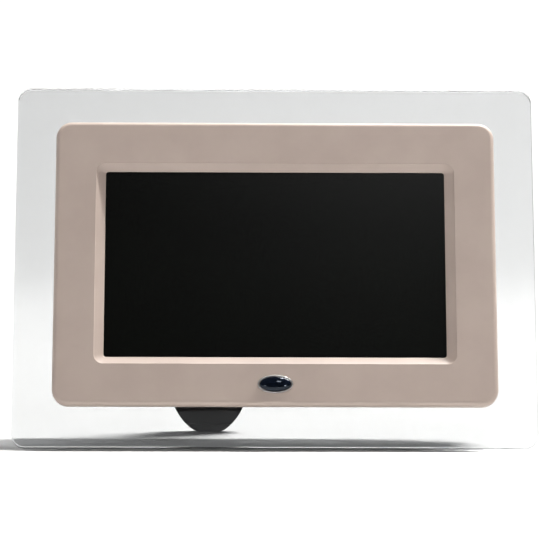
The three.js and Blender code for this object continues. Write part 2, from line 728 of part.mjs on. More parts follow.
const MOUTH_INSET = 0.8; // sockets end this far inside the wall's outer face
const socketMouth = (tall) => sideWall(onBoard + tall) - MOUTH_INSET;

// A metal or plastic shell that opens to the right, with a hollow of its own shape.
function socketShell({ z, wide, tall, long }, wall) {
  const mouth = socketMouth(tall);
  const body = block(mouth - long, mouth, onBoard, onBoard + tall, z - wide / 2, z + wide / 2);
  const hollow = block(
    mouth - long + wall + 1,
    mouth + THROUGH,
    onBoard + wall,
    onBoard + tall - wall,
    z - wide / 2 + wall,
    z + wide / 2 - wall,
  );
  return { body: cut(body, hollow), mouth, middle: onBoard + tall / 2 };
}

function tonguedSocket(size, wall, tongueWide, tongueTall) {
  const { body, mouth, middle } = socketShell(size, wall);
  const start = mouth - size.long + wall;
  const tongue = block(
    start,
    mouth - 1.5,
    middle - tongueTall / 2,
    middle + tongueTall / 2,
    size.z - tongueWide / 2,
    size.z + tongueWide / 2,
  );
  return joined(body, tongue);
}
add(frame, "usb_socket", tonguedSocket(sockets.usb, 0.6, 11, 1.8), steel);
add(frame, "mini_usb_socket", tonguedSocket(sockets.mini, 0.45, 5, 1), steel);

function boredSocket({ z, wide, tall, long }, radius, depth) {
  const mouth = socketMouth(tall);
  const body = block(mouth - long, mouth, onBoard, onBoard + tall, z - wide / 2, z + wide / 2);
  const bore = crossRod(radius, mouth - depth, mouth + THROUGH, onBoard + tall / 2, z, 20);
  return cut(body, bore);
}
const DC_BORE = 2.1;
const DC_DEPTH = 9;
add(frame, "dc_inlet", boredSocket(sockets.dc, DC_BORE, DC_DEPTH), blackPlastic);
const DC_PIN_RADIUS = 0.65;
const dcMouth = socketMouth(sockets.dc.tall);
const dcMiddle = onBoard + sockets.dc.tall / 2;
add(
  frame,
  "dc_inlet_pin",
  crossRod(DC_PIN_RADIUS, dcMouth - DC_DEPTH + SEAT, dcMouth - 1, dcMiddle, sockets.dc.z, 12),
  steel,
);
const PHONES_BORE = 1.8;
const PHONES_DEPTH = 11;
add(frame, "earphone_socket", boredSocket(sockets.phones, PHONES_BORE, PHONES_DEPTH), blackPlastic);

function cardSocket() {
  const { z, wide, tall, bodyWide, bodyTall, bodyLong } = cardSlot;
  const mouth = innerSide(cardBack) - MOUTH_INSET;
  const [bottom, top] = [z - bodyWide / 2, z + bodyWide / 2];
  const body = block(mouth - bodyLong, mouth, cardBack - bodyTall, cardBack, bottom, top);
  const slot = block(
    mouth - bodyLong + 3,
    mouth + THROUGH,
    cardMiddle - tall / 2,
    cardMiddle + tall / 2,
    z - wide / 2,
    z + wide / 2,
  );
  return cut(body, slot);
}
add(frame, "card_socket", cardSocket(), steel);

// ---- Power switch ----

const switchFace = innerSide(onBoard + powerSwitch.tall) - 0.5;
const knobGroove = 1.6;

function powerSwitchBody() {
  const { z, wide, tall, long } = powerSwitch;
  const body = block(switchFace - long, switchFace, onBoard, onBoard + tall, z - wide / 2, z + wide / 2);
  const half = (knobWide + SWITCH_TRAVEL) / 2 + FIT;
  const groove = block(
    switchFace - knobGroove,
    switchFace + THROUGH,
    knobDepth - knobTall / 2 - FIT,
    knobDepth + knobTall / 2 + FIT,
    z - half,
    z + half,
  );
  return cut(body, groove);
}
add(frame, "power_switch_body", powerSwitchBody(), steel);

function powerSwitchKnob() {
  const z = powerSwitch.z - SWITCH_TRAVEL / 2;
  const face = sideWall(knobDepth) + 1;
  const [front, back] = [knobDepth - knobTall / 2, knobDepth + knobTall / 2];
  const body = block(switchFace - knobGroove + FIT, face, front, back, z - knobWide / 2, z + knobWide / 2);
  const grooves = [-0.75, 0.75].map((offset) =>
    block(face - 0.5, face + THROUGH, front - THROUGH, back + THROUGH, z + offset - 0.25, z + offset + 0.25),
  );
  return cut(body, ...grooves);
}
add(frame, "power_switch_knob", powerSwitchKnob(), blackPlastic);

// ---- Keys ----

function keyBoardBody() {
  const holes = stakePlaces.map(([x, z]) =>
    disc(STAKE_PIN_RADIUS + FIT, keyBoardFront - THROUGH, keyBoardBack + THROUGH, x, z, 12),
  );
  return cut(slab(roundedOutline(keyBoard, 1, 2), keyBoardFront, keyBoardBack), ...holes);
}
add(frame, "key_board", keyBoardBody(), greenBoard);

const STEM_RADIUS = 1.5;
const stemEnd = switchTop - 1.6;

function keySwitch(x) {
  const outline = roundedOutline(sides(switchWide, switchWide, x, keyZ), 0.5, 1);
  const body = slab(outline, switchTop - switchBody, switchTop);
  return cut(body, disc(STEM_RADIUS + FIT, stemEnd - KEY_TRAVEL - SEAT, switchTop + THROUGH, x, keyZ, 12));
}

function keyCap(x) {
  const outer = housingBack + KEY_PROUD;
  const face = sides(KEY_WIDTH, KEY_HEIGHT, x, keyZ);
  const cap = loft([
    [roundedOutline(face, 1.2, 3), keyFlangeBack - 0.1],
    [roundedOutline(face, 1.2, 3), outer - 0.4],
    [roundedOutline(grown(face, -0.4), 0.8, 3), outer],
  ]);
  const flangeOutline = roundedOutline(grown(face, KEY_FLANGE), 1.8, 2);
  const flange = slab(flangeOutline, keyFlangeBack - keyFlangeThick, keyFlangeBack);
  return joined(cap, flange, disc(STEM_RADIUS, stemEnd, keyFlangeBack - 0.1, x, keyZ, 12));
}
keyPlaces.forEach((x, i) => {
  add(frame, `key_switch_${i + 1}`, keySwitch(x), chipBlack);
  add(frame, `key_cap_${i + 1}`, keyCap(x), blackPlastic);
});

// ---- Speakers behind the slots at the bottom of the rear face ----

function speaker(x) {
  const front = speakerBack - 5;
  const rim = roundedOutline(sides(SPEAKER_LENGTH, SPEAKER_HEIGHT, x, speakerZ), 3, 3);
  const dishEdges = sides(SPEAKER_LENGTH - 4, SPEAKER_HEIGHT - 4, x, speakerZ);
  const dish = loft([
    [roundedOutline(grown(dishEdges, -3.5), 2.5, 4), speakerBack - 2.2],
    [roundedOutline(dishEdges, 6, 4), speakerBack + 0.4],
  ]);
  return cut(joined(slab(rim, front, speakerBack), disc(6, front - 2.4, front + 1, x, speakerZ, 20)), dish);
}
add(frame, "speaker_left", speaker(-speakerX), paperCone);
add(frame, "speaker_right", speaker(speakerX), paperCone);

// ---- Leads and flat cables inside the housing ----

const LEAD_RADIUS = 0.6;
const leadOnBoard = onBoard + LEAD_RADIUS;
const speakerMid = speakerBack - 2.5;
const speakerEnd = speakerX - SPEAKER_LENGTH / 2 - SEAT;
const leadLanding = board.bottom + 1.5;
add(
  frame,
  "speaker_lead_left",
  lead(
    [
      [-speakerEnd, speakerMid, speakerZ],
      [-speakerEnd + 7, speakerMid, speakerZ],
      [board.left - 12, leadOnBoard + 1, leadLanding - 6],
      [board.left + 8, leadOnBoard, leadLanding - 5],
      [board.left + 10, leadOnBoard, leadLanding + 1],
    ],
    LEAD_RADIUS,
  ),
  blackRubber,
);
add(
  frame,
  "speaker_lead_right",
  lead(
    [
      [speakerEnd, speakerMid, speakerZ],
      [speakerEnd - 5, speakerMid - 0.5, speakerZ + 1],
      [speakerEnd - 9, leadOnBoard + 1, leadLanding - 4],
      [speakerEnd - 10, leadOnBoard, leadLanding + 1],
    ],
    LEAD_RADIUS,
  ),
  blackRubber,
);
const receiverBack = receiverFront + receiverDepth + SEAT;
add(
  frame,
  "receiver_lead",
  lead(
    [
      [0, receiverBack, lensZ],
      [0, PLATE_THICK + 1, lensZ + 0.5],
      [(board.left + 14) / 2, boardFront - 4, lensZ + 8],
      [board.left + 14, boardFront - 2, leadLanding - 3],
      [board.left + 14, boardFront - SEAT - LEAD_RADIUS, leadLanding + 2],
    ],
    LEAD_RADIUS,
  ),
  blackRubber,
);
const FLEX_THICK = 0.4;
const flexAtModule = moduleBack + SEAT + FLEX_THICK / 2;
const flexAtBoard = boardFront - SEAT - FLEX_THICK / 2;
add(
  frame,
  "lcd_flex_cable",
  ribbon(
    [
      [flexAtModule, board.bottom + 2],
      [flexAtModule, board.bottom - 8],
      [(flexAtModule + flexAtBoard) / 2, board.bottom - 12],
      [flexAtBoard, board.bottom - 8],
      [flexAtBoard, board.bottom + 2],
    ],
    FLEX_THICK,
    partsX - 12,
    partsX + 12,
    20,
  ),
  cableOrange,
);
const keyCableAtBoard = onBoard + FLEX_THICK / 2;
const keyCableAtKeys = keyBoardFront - SEAT - FLEX_THICK / 2;
// The cable passes to the right of the board's left-hand posts.
const keyCableLeft = Math.max(firstKeyX, boardPosts[0][0] + BOARD_POST_RADIUS + 1);
const keyCableWide = 10;
add(
  frame,
  "key_board_cable",
  ribbon(
    [
      [keyCableAtBoard, board.top - 5],
      [keyCableAtBoard, board.top - 1.5],
      [(keyCableAtBoard + keyCableAtKeys) / 2, (board.top + keyBoard.bottom) / 2],
      [keyCableAtKeys, keyBoard.bottom + 1.5],
      [keyCableAtKeys, keyBoard.bottom + 5],
    ],
    FLEX_THICK,
    keyCableLeft,
    keyCableLeft + keyCableWide,
    12,
  ),
  whitePlastic,
);

// ---- Turntable ----

const hingeY = turntableBack + HINGE_OFFSET;
const hingeZ = hubZ + HINGE_RISE;
const EAR_RADIUS = HINGE_OFFSET - 0.1;
const retainerScrews = [0, 1, 2].map((i) => {
  const angle = Math.PI / 2 + (i * 2 * Math.PI) / 3;
  return [hubX + 9.5 * Math.cos(angle), hubZ + 9.5 * Math.sin(angle)];
});
const retainerTip = turntableBack - 0.9;

function turntable() {
  const plate = turned(
    [
      [0, turntableFront],
      [TURNTABLE_RADIUS, turntableFront],
      [TURNTABLE_RADIUS, turntableBack - 0.8],
      [TURNTABLE_RADIUS - 0.8, turntableBack],
      [0, turntableBack],
    ],
    hubX,
    hubZ,
    48,
  );
  const spigot = disc(SPIGOT_RADIUS, spigotEnd, turntableFront + THROUGH, hubX, hubZ, 40);
  const ears = [-1, 1].map((side) => {
    const near = hubX + (side * EAR_GAP) / 2;
    const far = near + side * EAR_THICK;
    const [x0, x1] = [Math.min(near, far), Math.max(near, far)];
    const foot = block(x0, x1, turntableBack - 1, hingeY, hingeZ - EAR_RADIUS, hingeZ + EAR_RADIUS);
    const eye = crossRod(EAR_RADIUS, x0, x1, hingeY, hingeZ, 24);
    return joined(foot, eye);
  });
  const bore = crossRod(PIN_RADIUS + FIT, hubX - EAR_GAP, hubX + EAR_GAP, hingeY, hingeZ, 20);
  const pilots = retainerScrews.map(([x, z]) =>
    disc(SMALL_SCREW_RADIUS + FIT, spigotEnd - THROUGH, retainerTip + SEAT, x, z, 12),
  );
  return cut(joined(plate, spigot, ...ears), bore, ...pilots);
}
add(frame, "stand_turntable", turntable(), blackPlastic);

function retainer() {
  const holes = retainerScrews.map(([x, z]) =>
    disc(SMALL_SCREW_RADIUS + FIT, retainerFront - THROUGH, retainerBack + THROUGH, x, z, 12),
  );
  return cut(disc(RETAINER_RADIUS, retainerFront, retainerBack, hubX, hubZ, 32), ...holes);
}
add(frame, "turntable_retainer", retainer(), steel);
retainerScrews.forEach(([x, z], i) => {
  const sizes = { radius: SMALL_SCREW_RADIUS, headRadius: SMALL_HEAD_RADIUS, headThick: SMALL_HEAD_THICK };
  const body = screw({ x, z, seat: retainerFront - SEAT, tip: retainerTip, ...sizes });
  add(frame, `retainer_screw_${i + 1}`, body, steel);
});
const pinHalf = EAR_GAP / 2 + EAR_THICK;
add(frame, "leg_hinge_pin", crossRod(PIN_RADIUS, hubX - pinHalf, hubX + pinHalf, hingeY, hingeZ, 16), steel);

// ---- Leg: laid out hanging straight down from its hinge axis, then swung open ----

const leg = new THREE.Group();
leg.position.set(hubX, hingeY, hingeZ);
leg.rotation.x = LEG_OPEN;
frame.add(leg);

// The plate's rear bottom edge and the leg's pad stand on the same floor.
const heelY = PLATE_THICK - PLATE_BEVEL;
const hingeHeight = (hingeZ + plateHeight / 2) * Math.cos(LEAN) - (hingeY - heelY) * Math.sin(LEAN);
const legLength = hingeHeight / Math.cos(LEG_LEAN) + 0.9;
const legFront = 0.6 - HINGE_OFFSET;
const legBack = legFront + LEG_THICK;
const knuckleHalf = EAR_GAP / 2 - FIT;
const padTop = -legLength + PAD_LENGTH;

function legOutline() {
  const tipCentre = -legLength + LEG_TIP_LENGTH;
  const shoulder = -EAR_RADIUS - 1;
  const shape = new THREE.Shape();
  shape.moveTo(knuckleHalf, 4.6);
  shape.lineTo(-knuckleHalf, 4.6);
  shape.lineTo(-knuckleHalf, shoulder);
  shape.lineTo(-LEG_TOP_HALF + 2, shoulder);
  shape.quadraticCurveTo(-LEG_TOP_HALF, shoulder, -LEG_TOP_HALF, shoulder - 2);
  shape.lineTo(-LEG_TIP_HALF, tipCentre);
  shape.absellipse(0, tipCentre, LEG_TIP_HALF, LEG_TIP_LENGTH, Math.PI, 2 * Math.PI);
  shape.lineTo(LEG_TOP_HALF, shoulder - 2);
  shape.quadraticCurveTo(LEG_TOP_HALF, shoulder, LEG_TOP_HALF - 2, shoulder);
  shape.lineTo(knuckleHalf, shoulder);
  // Drops a point that repeats the one before it.
  return shape.getPoints(14).filter((point, i, points) => point.distanceTo(points.at(i - 1)) > 1e-3);
}

function legBlank() {
  const outline = legOutline();
  const edge = 0.7;
  const centre = new THREE.Vector2(0, -legLength / 2);
  const eased = outline.map((p) => {
    const away = p.clone().sub(centre);
    const shrink = new THREE.Vector2(1 - edge / LEG_TIP_HALF, 1 - edge / (legLength / 2));
    return away.multiply(shrink).add(centre);
  });
  return loft([
    [outline, legFront],
    [outline, legBack - edge],
    [eased, legBack],
  ]);
}

// Everything under the floor when the leg stands open.
function underFloor() {
  const size = 120;
  const geometry = new THREE.BoxGeometry(size, size, size).translate(0, 0, -size / 2 - hingeHeight);
  return solid(geometry.rotateX(-LEG_LEAN));
}

// What the turntable's face stops when the leg stands open: the heel above the hinge rests on it.
function pastStop() {
  const size = 60;
  const face = HINGE_OFFSET - SEAT;
  const geometry = new THREE.BoxGeometry(size, size, size).translate(0, -size / 2 - face, 0);
  return solid(geometry.rotateX(-LEG_OPEN));
}
const tongue = (clearance) =>
  block(-8 - clearance, 8 + clearance, -1 - clearance, 1 + clearance, padTop - 2.6 - clearance, padTop + 3);
const belowPadLine = (z) => block(-60, 60, -30, 30, z - 60, z);

function standLeg() {
  const knuckle = crossRod(-legFront, -knuckleHalf, knuckleHalf, 0, 0, 24);
  const pocketBottom = -legLength + 26;
  const pockets = [
    [-14.2, -6.2],
    [-5, 5],
    [6.2, 14.2],
  ].map(([x0, x1]) => block(x0, x1, legFront - THROUGH, legBack - LEG_SKIN, pocketBottom, -9));
  const bore = crossRod(PIN_RADIUS + FIT, -EAR_GAP, EAR_GAP, 0, 0, 20);
  const upper = cut(legBlank(), belowPadLine(padTop));
  return cut(joined(upper, knuckle, tongue(0)), ...pockets, bore, pastStop());
}
add(leg, "stand_leg", standLeg(), blackPlastic);

function legPad() {
  const abovePadLine = block(-60, 60, -30, 30, padTop - SEAT, padTop + 200);
  return cut(legBlank(), abovePadLine, tongue(FIT), underFloor());
}
add(leg, "leg_pad", legPad(), blackRubber);

// ---- The finished frame leans back on the plate's rear bottom edge and the leg ----

frame.rotation.x = -LEAN;
frame.position.z = (plateHeight / 2) * Math.cos(LEAN) + heelY * Math.sin(LEAN);
const photoFrame = new THREE.Group();
photoFrame.add(frame);
photoFrame.updateMatrixWorld(true);
const extent = new THREE.Box3().setFromObject(photoFrame, true);
frame.position.y = -(extent.min.y + extent.max.y) / 2;
photoFrame.updateMatrixWorld(true);

export default photoFrame;
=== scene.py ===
import json
import math

import bmesh
import bpy
from mathutils import Matrix, Vector


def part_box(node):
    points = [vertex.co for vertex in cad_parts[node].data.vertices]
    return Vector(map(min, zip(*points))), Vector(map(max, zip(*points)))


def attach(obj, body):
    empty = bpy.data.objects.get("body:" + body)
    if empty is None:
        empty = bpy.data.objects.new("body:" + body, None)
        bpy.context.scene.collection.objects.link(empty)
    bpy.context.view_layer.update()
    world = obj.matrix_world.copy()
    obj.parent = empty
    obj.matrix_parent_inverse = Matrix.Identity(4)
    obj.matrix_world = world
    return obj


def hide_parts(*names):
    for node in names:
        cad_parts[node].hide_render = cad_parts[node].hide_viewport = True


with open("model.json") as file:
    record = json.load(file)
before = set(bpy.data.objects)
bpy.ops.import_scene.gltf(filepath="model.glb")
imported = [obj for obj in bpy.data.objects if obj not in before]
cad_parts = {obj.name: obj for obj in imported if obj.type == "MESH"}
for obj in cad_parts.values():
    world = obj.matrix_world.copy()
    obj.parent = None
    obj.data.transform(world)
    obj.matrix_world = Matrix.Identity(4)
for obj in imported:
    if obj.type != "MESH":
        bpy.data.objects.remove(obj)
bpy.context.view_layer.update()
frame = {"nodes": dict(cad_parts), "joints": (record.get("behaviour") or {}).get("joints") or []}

# ---- How the frame leans ----
# The clear plate leans back on its rear bottom edge. Everything fixed to it is drawn in the plate's own
# millimetres, with x to the right, y to the rear and z up the plate, and is set in its place when finished.

joints = {joint["name"]: joint for joint in frame["joints"]}
rearward = Vector(joints["stand_swivel"]["axis"]).normalized()
sideways = Vector((1.0, 0.0, 0.0))
upward = sideways.cross(rearward)
plate_low, plate_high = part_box("clear_surround_plate")
PLATE_THICKNESS = 5.0
MM = 0.001
plate_front_centre = (plate_low + plate_high) / 2 - rearward * PLATE_THICKNESS / 2 * MM
leaned = Matrix.Translation(plate_front_centre) @ Matrix.Scale(MM, 4)
leaned = leaned @ Matrix((sideways, rearward, upward)).transposed().to_4x4()


def extent(node, place=leaned):
    """Lowest and highest corner of a CAD node along the axes of the place it is drawn in, in millimetres."""
    back = place.inverted()
    points = [back @ vertex.co for vertex in frame["nodes"][node].data.vertices]
    low = Vector([min(point[axis] for point in points) for axis in range(3)])
    high = Vector([max(point[axis] for point in points) for axis in range(3)])
    return low, high


def middle_of(node):
    low, high = extent(node)
    return (low + high) / 2


# ---- Clear surround plate ----
# A sheet of cast acrylic sawn to size, with round corners and flame-polished edges that are eased all round.
# The LCD sits in its cut-out, and four screws pass through it to clamp it between bezel and housing.


def rounded_outline(edges, corner, inset=0.0, steps=14):
    """Points (x, z) round a rectangle (left, right, bottom, top), drawn in by inset."""
    left, right, bottom, top = edges
    radius = max(corner - inset, 0.05)
    reach = inset + radius
    centres = (
        (right - reach, top - reach),
        (left + reach, top - reach),
        (left + reach, bottom + reach),
        (right - reach, bottom + reach),
    )
    points = []
    for quarter, (x, z) in enumerate(centres):
        for step in range(steps + 1):
            angle = math.pi / 2 * (quarter + step / steps)
            points.append((x + radius * math.cos(angle), z + radius * math.sin(angle)))
    return points


def at_depth(outline, y):
    return [Vector((x, y, z)) for x, z in outline]


def edges_of(node, wider=0.0, taller=None, place=leaned):
    """The left, right, bottom and top of a CAD node as seen from the front, grown on each side."""
    low, high = extent(node, place)
    taller = wider if taller is None else taller
    return low[0] - wider, high[0] + wider, low[2] - taller, high[2] + taller


def piece_from(mesh, name, smooth=30):
    """Turns a bmesh in millimetres into a named object, smooth but for edges sharper than the given angle."""
    bmesh.ops.remove_doubles(mesh, verts=mesh.verts, dist=0.0005)
    bmesh.ops.recalc_face_normals(mesh, faces=mesh.faces)
    data = bpy.data.meshes.new(name)
    mesh.to_mesh(data)
    mesh.free()
    data.shade_smooth()
    data.set_sharp_from_angle(angle=math.radians(smooth))
    piece = bpy.data.objects.new(name, data)
    bpy.context.scene.collection.objects.link(piece)
    return piece


def skin(name, rings, closed=False, smooth=30):
    """A body through rings of points: capped at both ends, or closed on itself like a frame moulding."""
    mesh = bmesh.new()
    rows = [[mesh.verts.new(point) for point in ring] for ring in rings]
    follow = rows[1:] + rows[:1] if closed else rows[1:]
    for near, far in zip(rows, follow):
        for i in range(len(near)):
            j = (i + 1) % len(near)
            mesh.faces.new((near[i], near[j], far[j], far[i]))
    if not closed:
        mesh.faces.new(rows[0])
        mesh.faces.new(rows[-1])
    return piece_from(mesh, name, smooth)


def quarter_round(radius, steps):
    """Pairs (inset, depth) of a quarter circle that turns from a flat face into a side wall."""
    angles = [math.pi / 2 * step / steps for step in range(steps + 1)]
    return [(radius * (1 - math.sin(angle)), radius * (1 - math.cos(angle))) for angle in angles]


def bake(piece):
    """Makes the piece's modifiers part of its mesh."""
    graph = bpy.context.evaluated_depsgraph_get()
    plain = bpy.data.meshes.new_from_object(piece.evaluated_get(graph), depsgraph=graph)
    piece.modifiers.clear()
    piece.data = plain
    return piece


def combine(piece, tools, operation="DIFFERENCE", smooth=30):
    """Cuts the tools out of a piece, or joins them to it, and clears the tools away."""
    for tool in tools:
        step = piece.modifiers.new("shape", "BOOLEAN")
        step.operation = operation
        step.solver = "MANIFOLD"
        step.object = tool
    bake(piece)
    for tool in tools:
        bpy.data.objects.remove(tool)
    piece.data.set_sharp_from_angle(angle=math.radians(smooth))
    return piece


def ellipse(half_width, half_height, x=0.0, z=0.0, steps=72):
    turns = [2 * math.pi * step / steps for step in range(steps)]
    return [(x + half_width * math.cos(turn), z + half_height * math.sin(turn)) for turn in turns]


def rod(radius, front, back, x, z, steps=32):
    """A plain round rod along the plate's depth."""
    circle = ellipse(radius, radius, x, z, steps)
    return skin("rod", [at_depth(circle, front), at_depth(circle, back)])


def finish_piece(piece, material, body, slot, *nodes, place=leaned):
    """Sets a drawn piece in its place, paints it, joins it to its body and hides the CAD nodes that it stands for.
    """
    piece.data.transform(place)
    piece.data.materials.clear()
    piece.data.materials.append(material)
    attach(piece, body)
    if nodes:
        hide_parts(*nodes)


PAST = 1.0  # how far a cutter runs past the face that it cuts
FLAT_BAND = 0.06  # a narrow flat band keeps a wide face flat beside its rounded edge
PLATE_CORNER = 6.5
PLATE_EDGE_EASE = 0.4
CUTOUT_CORNER = 2.0
CUTOUT_ROOM = 1.0
CLAMP_HOLE_RADIUS = 1.5
plate_edges = edges_of("clear_surround_plate")
cutout = rounded_outline(edges_of("lcd_metal_frame", CUTOUT_ROOM), CUTOUT_CORNER)
clamp_places = [middle_of(f"housing_screw_{number}") for number in range(1, 5)]


def plate_rim(inset):
    return rounded_outline(plate_edges, PLATE_CORNER, inset)


front_ease = [at_depth(plate_rim(inset), depth) for inset, depth in quarter_round(PLATE_EDGE_EASE, 5)]
rear_ease = [
    at_depth(plate_rim(inset), PLATE_THICKNESS - depth) for inset,
    depth in quarter_round(PLATE_EDGE_EASE, 5)
]
flat_edge = plate_rim(PLATE_EDGE_EASE + FLAT_BAND)
plate = skin(
    "clear_plate",
    [
        at_depth(cutout, 0.0),
        at_depth(flat_edge, 0.0),
        *front_ease,
        *reversed(rear_ease),
        at_depth(flat_edge, PLATE_THICKNESS),
        at_depth(cutout, PLATE_THICKNESS),
    ],
    closed=True,
)
receiver_left, receiver_right, receiver_bottom, receiver_top = edges_of("ir_receiver", 3, 2)
notch = rounded_outline((receiver_left, receiver_right, receiver_bottom, receiver_top + 8), 1.0, steps=4)
combine(
    plate,
    [
        skin("notch", [at_depth(notch, -PAST), at_depth(notch, PLATE_THICKNESS + PAST)]),
        *[rod(CLAMP_HOLE_RADIUS, -PAST, PLATE_THICKNESS + PAST, at[0], at[2]) for at in clamp_places],
    ],
)


def new_finish(name):
    """A material with its shader, and a way to add and join nodes."""
    material = bpy.data.materials.new(name)
    material.use_nodes = True
    tree = material.node_tree
    shader = tree.nodes["Principled BSDF"]

    def node(kind, inputs=(), **settings):
        made = tree.nodes.new(kind)
        for key, value in settings.items():
            setattr(made, key, value)
        for socket, value in dict(inputs).items():
            if isinstance(value, bpy.types.NodeSocket):
                tree.links.new(value, made.inputs[socket])
            else:
                made.inputs[socket].default_value = value
        return made

    def feed(source, socket):
        tree.links.new(source, shader.inputs[socket])

    return material, shader, node, feed


def speckle(node, grain, detail=4.0, roughness=0.55, stretch=(1.0, 1.0, 1.0)):
    """Noise on the piece's own coordinates whose blotches measure about grain millimetres."""
    place = node("ShaderNodeTexCoord").outputs["Object"]
    scaled = node("ShaderNodeMapping", {"Vector": place, "Scale": stretch}).outputs["Vector"]
    sizes = {"Vector": scaled, "Scale": 1 / (grain * MM), "Detail": detail, "Roughness": roughness}
    return node("ShaderNodeTexNoise", sizes).outputs["Fac"]


def remap(node, value, low, high, from_low=0.3, from_high=0.7):
    limits = {"Value": value, "From Min": from_low, "From Max": from_high, "To Min": low, "To Max": high}
    return node("ShaderNodeMapRange", limits).outputs["Result"]


def tones(node, value, dark, light, from_low=0.3, from_high=0.7):
    """Two close shades of one colour, shared out by a noise."""
    share = remap(node, value, 0.0, 1.0, from_low, from_high)
    mix = node("ShaderNodeMix", data_type="RGBA")
    tree = mix.id_data
    tree.links.new(share, mix.inputs["Factor"])
    mix.inputs["A"].default_value = (*dark, 1.0)
    mix.inputs["B"].default_value = (*light, 1.0)
    return mix.outputs["Result"]


def dents(node, heights):
    """One bump after another, each from a (height, depth in millimetres) pair."""
    normal = None
    for height, depth in heights:
        inputs = {"Height": height, "Strength": 1.0, "Distance": depth * MM}
        if normal is not None:
            inputs["Normal"] = normal
        normal = node("ShaderNodeBump", inputs).outputs["Normal"]
    return normal


def clear_acrylic():
    """Faintly grey cast sheet with wiping marks; lamps shine through it without a hard shadow."""
    material, shader, node, feed = new_finish("clear_acrylic")
    shader.inputs["Base Color"].default_value = (0.61, 0.62, 0.625, 1.0)
    shader.inputs["Transmission Weight"].default_value = 1.0
    shader.inputs["IOR"].default_value = 1.49
    wiped = speckle(node, 26, 3, 0.6, (1.0, 1.0, 2.2))
    feed(remap(node, wiped, 0.0, 0.05, 0.45, 0.75), "Roughness")
    feed(dents(node, [(speckle(node, 60, 2), 0.02)]), "Normal")
    lamp = node("ShaderNodeLightPath").outputs["Is Shadow Ray"]
    through = node("ShaderNodeBsdfTransparent", {"Color": (0.9, 0.905, 0.91, 1.0)}).outputs["BSDF"]
    mixed = node("ShaderNodeMixShader", {0: lamp, 1: shader.outputs["BSDF"], 2: through})
    tree = material.node_tree
    tree.links.new(mixed.outputs["Shader"], tree.nodes["Material Output"].inputs["Surface"])
    return material


finish_piece(plate, clear_acrylic(), "frame", "clear_acrylic", "clear_surround_plate")

# ---- Front bezel ----
# One thin moulding in a pale mushroom-grey, with a satin finish, a rolled outer edge and a chamfered recess
# round the screen. A small step rings the recess, and four bosses behind the face take the clamping screws.

BEZEL_CORNER = 7.5
BEZEL_ROLL = 2.0
BEZEL_WALL = 2.0
BEZEL_TOP_LIP = 0.8
RECESS_CORNER = 4.2
RECESS_LIP = 0.25
RECESS_STEP = 0.45
WINDOW_CORNER = 1.3
WINDOW_LIP = 0.3
CHAMFER_RUN = 4.2
CHAMFER_RUN_UP = 3.3
CHAMFER_DROP = 2.5
WINDOW_LAND = 0.4
GLASS_OVERLAP = 1.3
BOSS_RADIUS = 3.2
bezel_low, bezel_high = extent("front_bezel")
bezel_front, bezel_back = bezel_low[1], bezel_high[1]
left, right, bottom, top = edges_of("front_bezel")
bezel_edges = left, right, bottom, top + BEZEL_TOP_LIP
window_edges = edges_of("lcd_glass", -GLASS_OVERLAP)
recess_edges = edges_of("lcd_glass", CHAMFER_RUN - GLASS_OVERLAP, CHAMFER_RUN_UP - GLASS_OVERLAP)


def bezel_rim(inset):
    return rounded_outline(bezel_edges, BEZEL_CORNER, inset)


def recess_rim(inset):
    """Between the recess's outline, at 0, and the window's, at 1."""
    outer = rounded_outline(recess_edges, RECESS_CORNER)
    inner = rounded_outline(window_edges, WINDOW_CORNER)
    return [(a + (c - a) * inset, b + (d - b) * inset) for (a, b), (c, d) in zip(outer, inner)]


recess_floor = bezel_front + CHAMFER_DROP
window_back = recess_floor + WINDOW_LAND
chamfer_top = bezel_front + RECESS_STEP
chamfer_fall = recess_floor - chamfer_top


def chamfer_at(share):
    return at_depth(recess_rim(share), chamfer_top + chamfer_fall * share)


roll = [at_depth(bezel_rim(inset), bezel_front + depth) for inset, depth in quarter_round(BEZEL_ROLL, 10)]
lip = [
    at_depth(rounded_outline(recess_edges, RECESS_CORNER, -inset), bezel_front + depth)
    for inset, depth in quarter_round(RECESS_LIP, 4)
]
window_lip = []
for step in range(1, 5):
    share = 1 - (WINDOW_LIP / CHAMFER_RUN) * (1 - step / 4) ** 1.6
    window_lip.append(at_depth(recess_rim(share), recess_floor - 0.16 + 0.26 * (step / 4) ** 1.4))
face_back = bezel_front + BEZEL_WALL
collar = rounded_outline(edges_of("lcd_glass", CHAMFER_RUN + BEZEL_WALL - GLASS_OVERLAP), RECESS_CORNER)
bezel = skin(
    "bezel_moulding",
    [
        *reversed(roll),
        at_depth(bezel_rim(BEZEL_ROLL + FLAT_BAND), bezel_front),
        at_depth(rounded_outline(recess_edges, RECESS_CORNER, -RECESS_LIP - FLAT_BAND), bezel_front),
        *lip,
        chamfer_at(0.0),
        chamfer_at(0.02),
        chamfer_at(1 - WINDOW_LIP / CHAMFER_RUN - 0.01),
        *window_lip,
        at_depth(recess_rim(1.0), window_back),
        at_depth(collar, window_back),
        at_depth(collar, face_back),
        at_depth(bezel_rim(BEZEL_WALL), face_back),
        at_depth(bezel_rim(BEZEL_WALL), bezel_back),
        at_depth(bezel_rim(0.0), bezel_back),
    ],
    closed=True,
    smooth=40,
)
combine(
    bezel, [rod(BOSS_RADIUS, face_back - 0.5, bezel_back, at[0], at[2]) for at in clamp_places], "UNION", 40
)

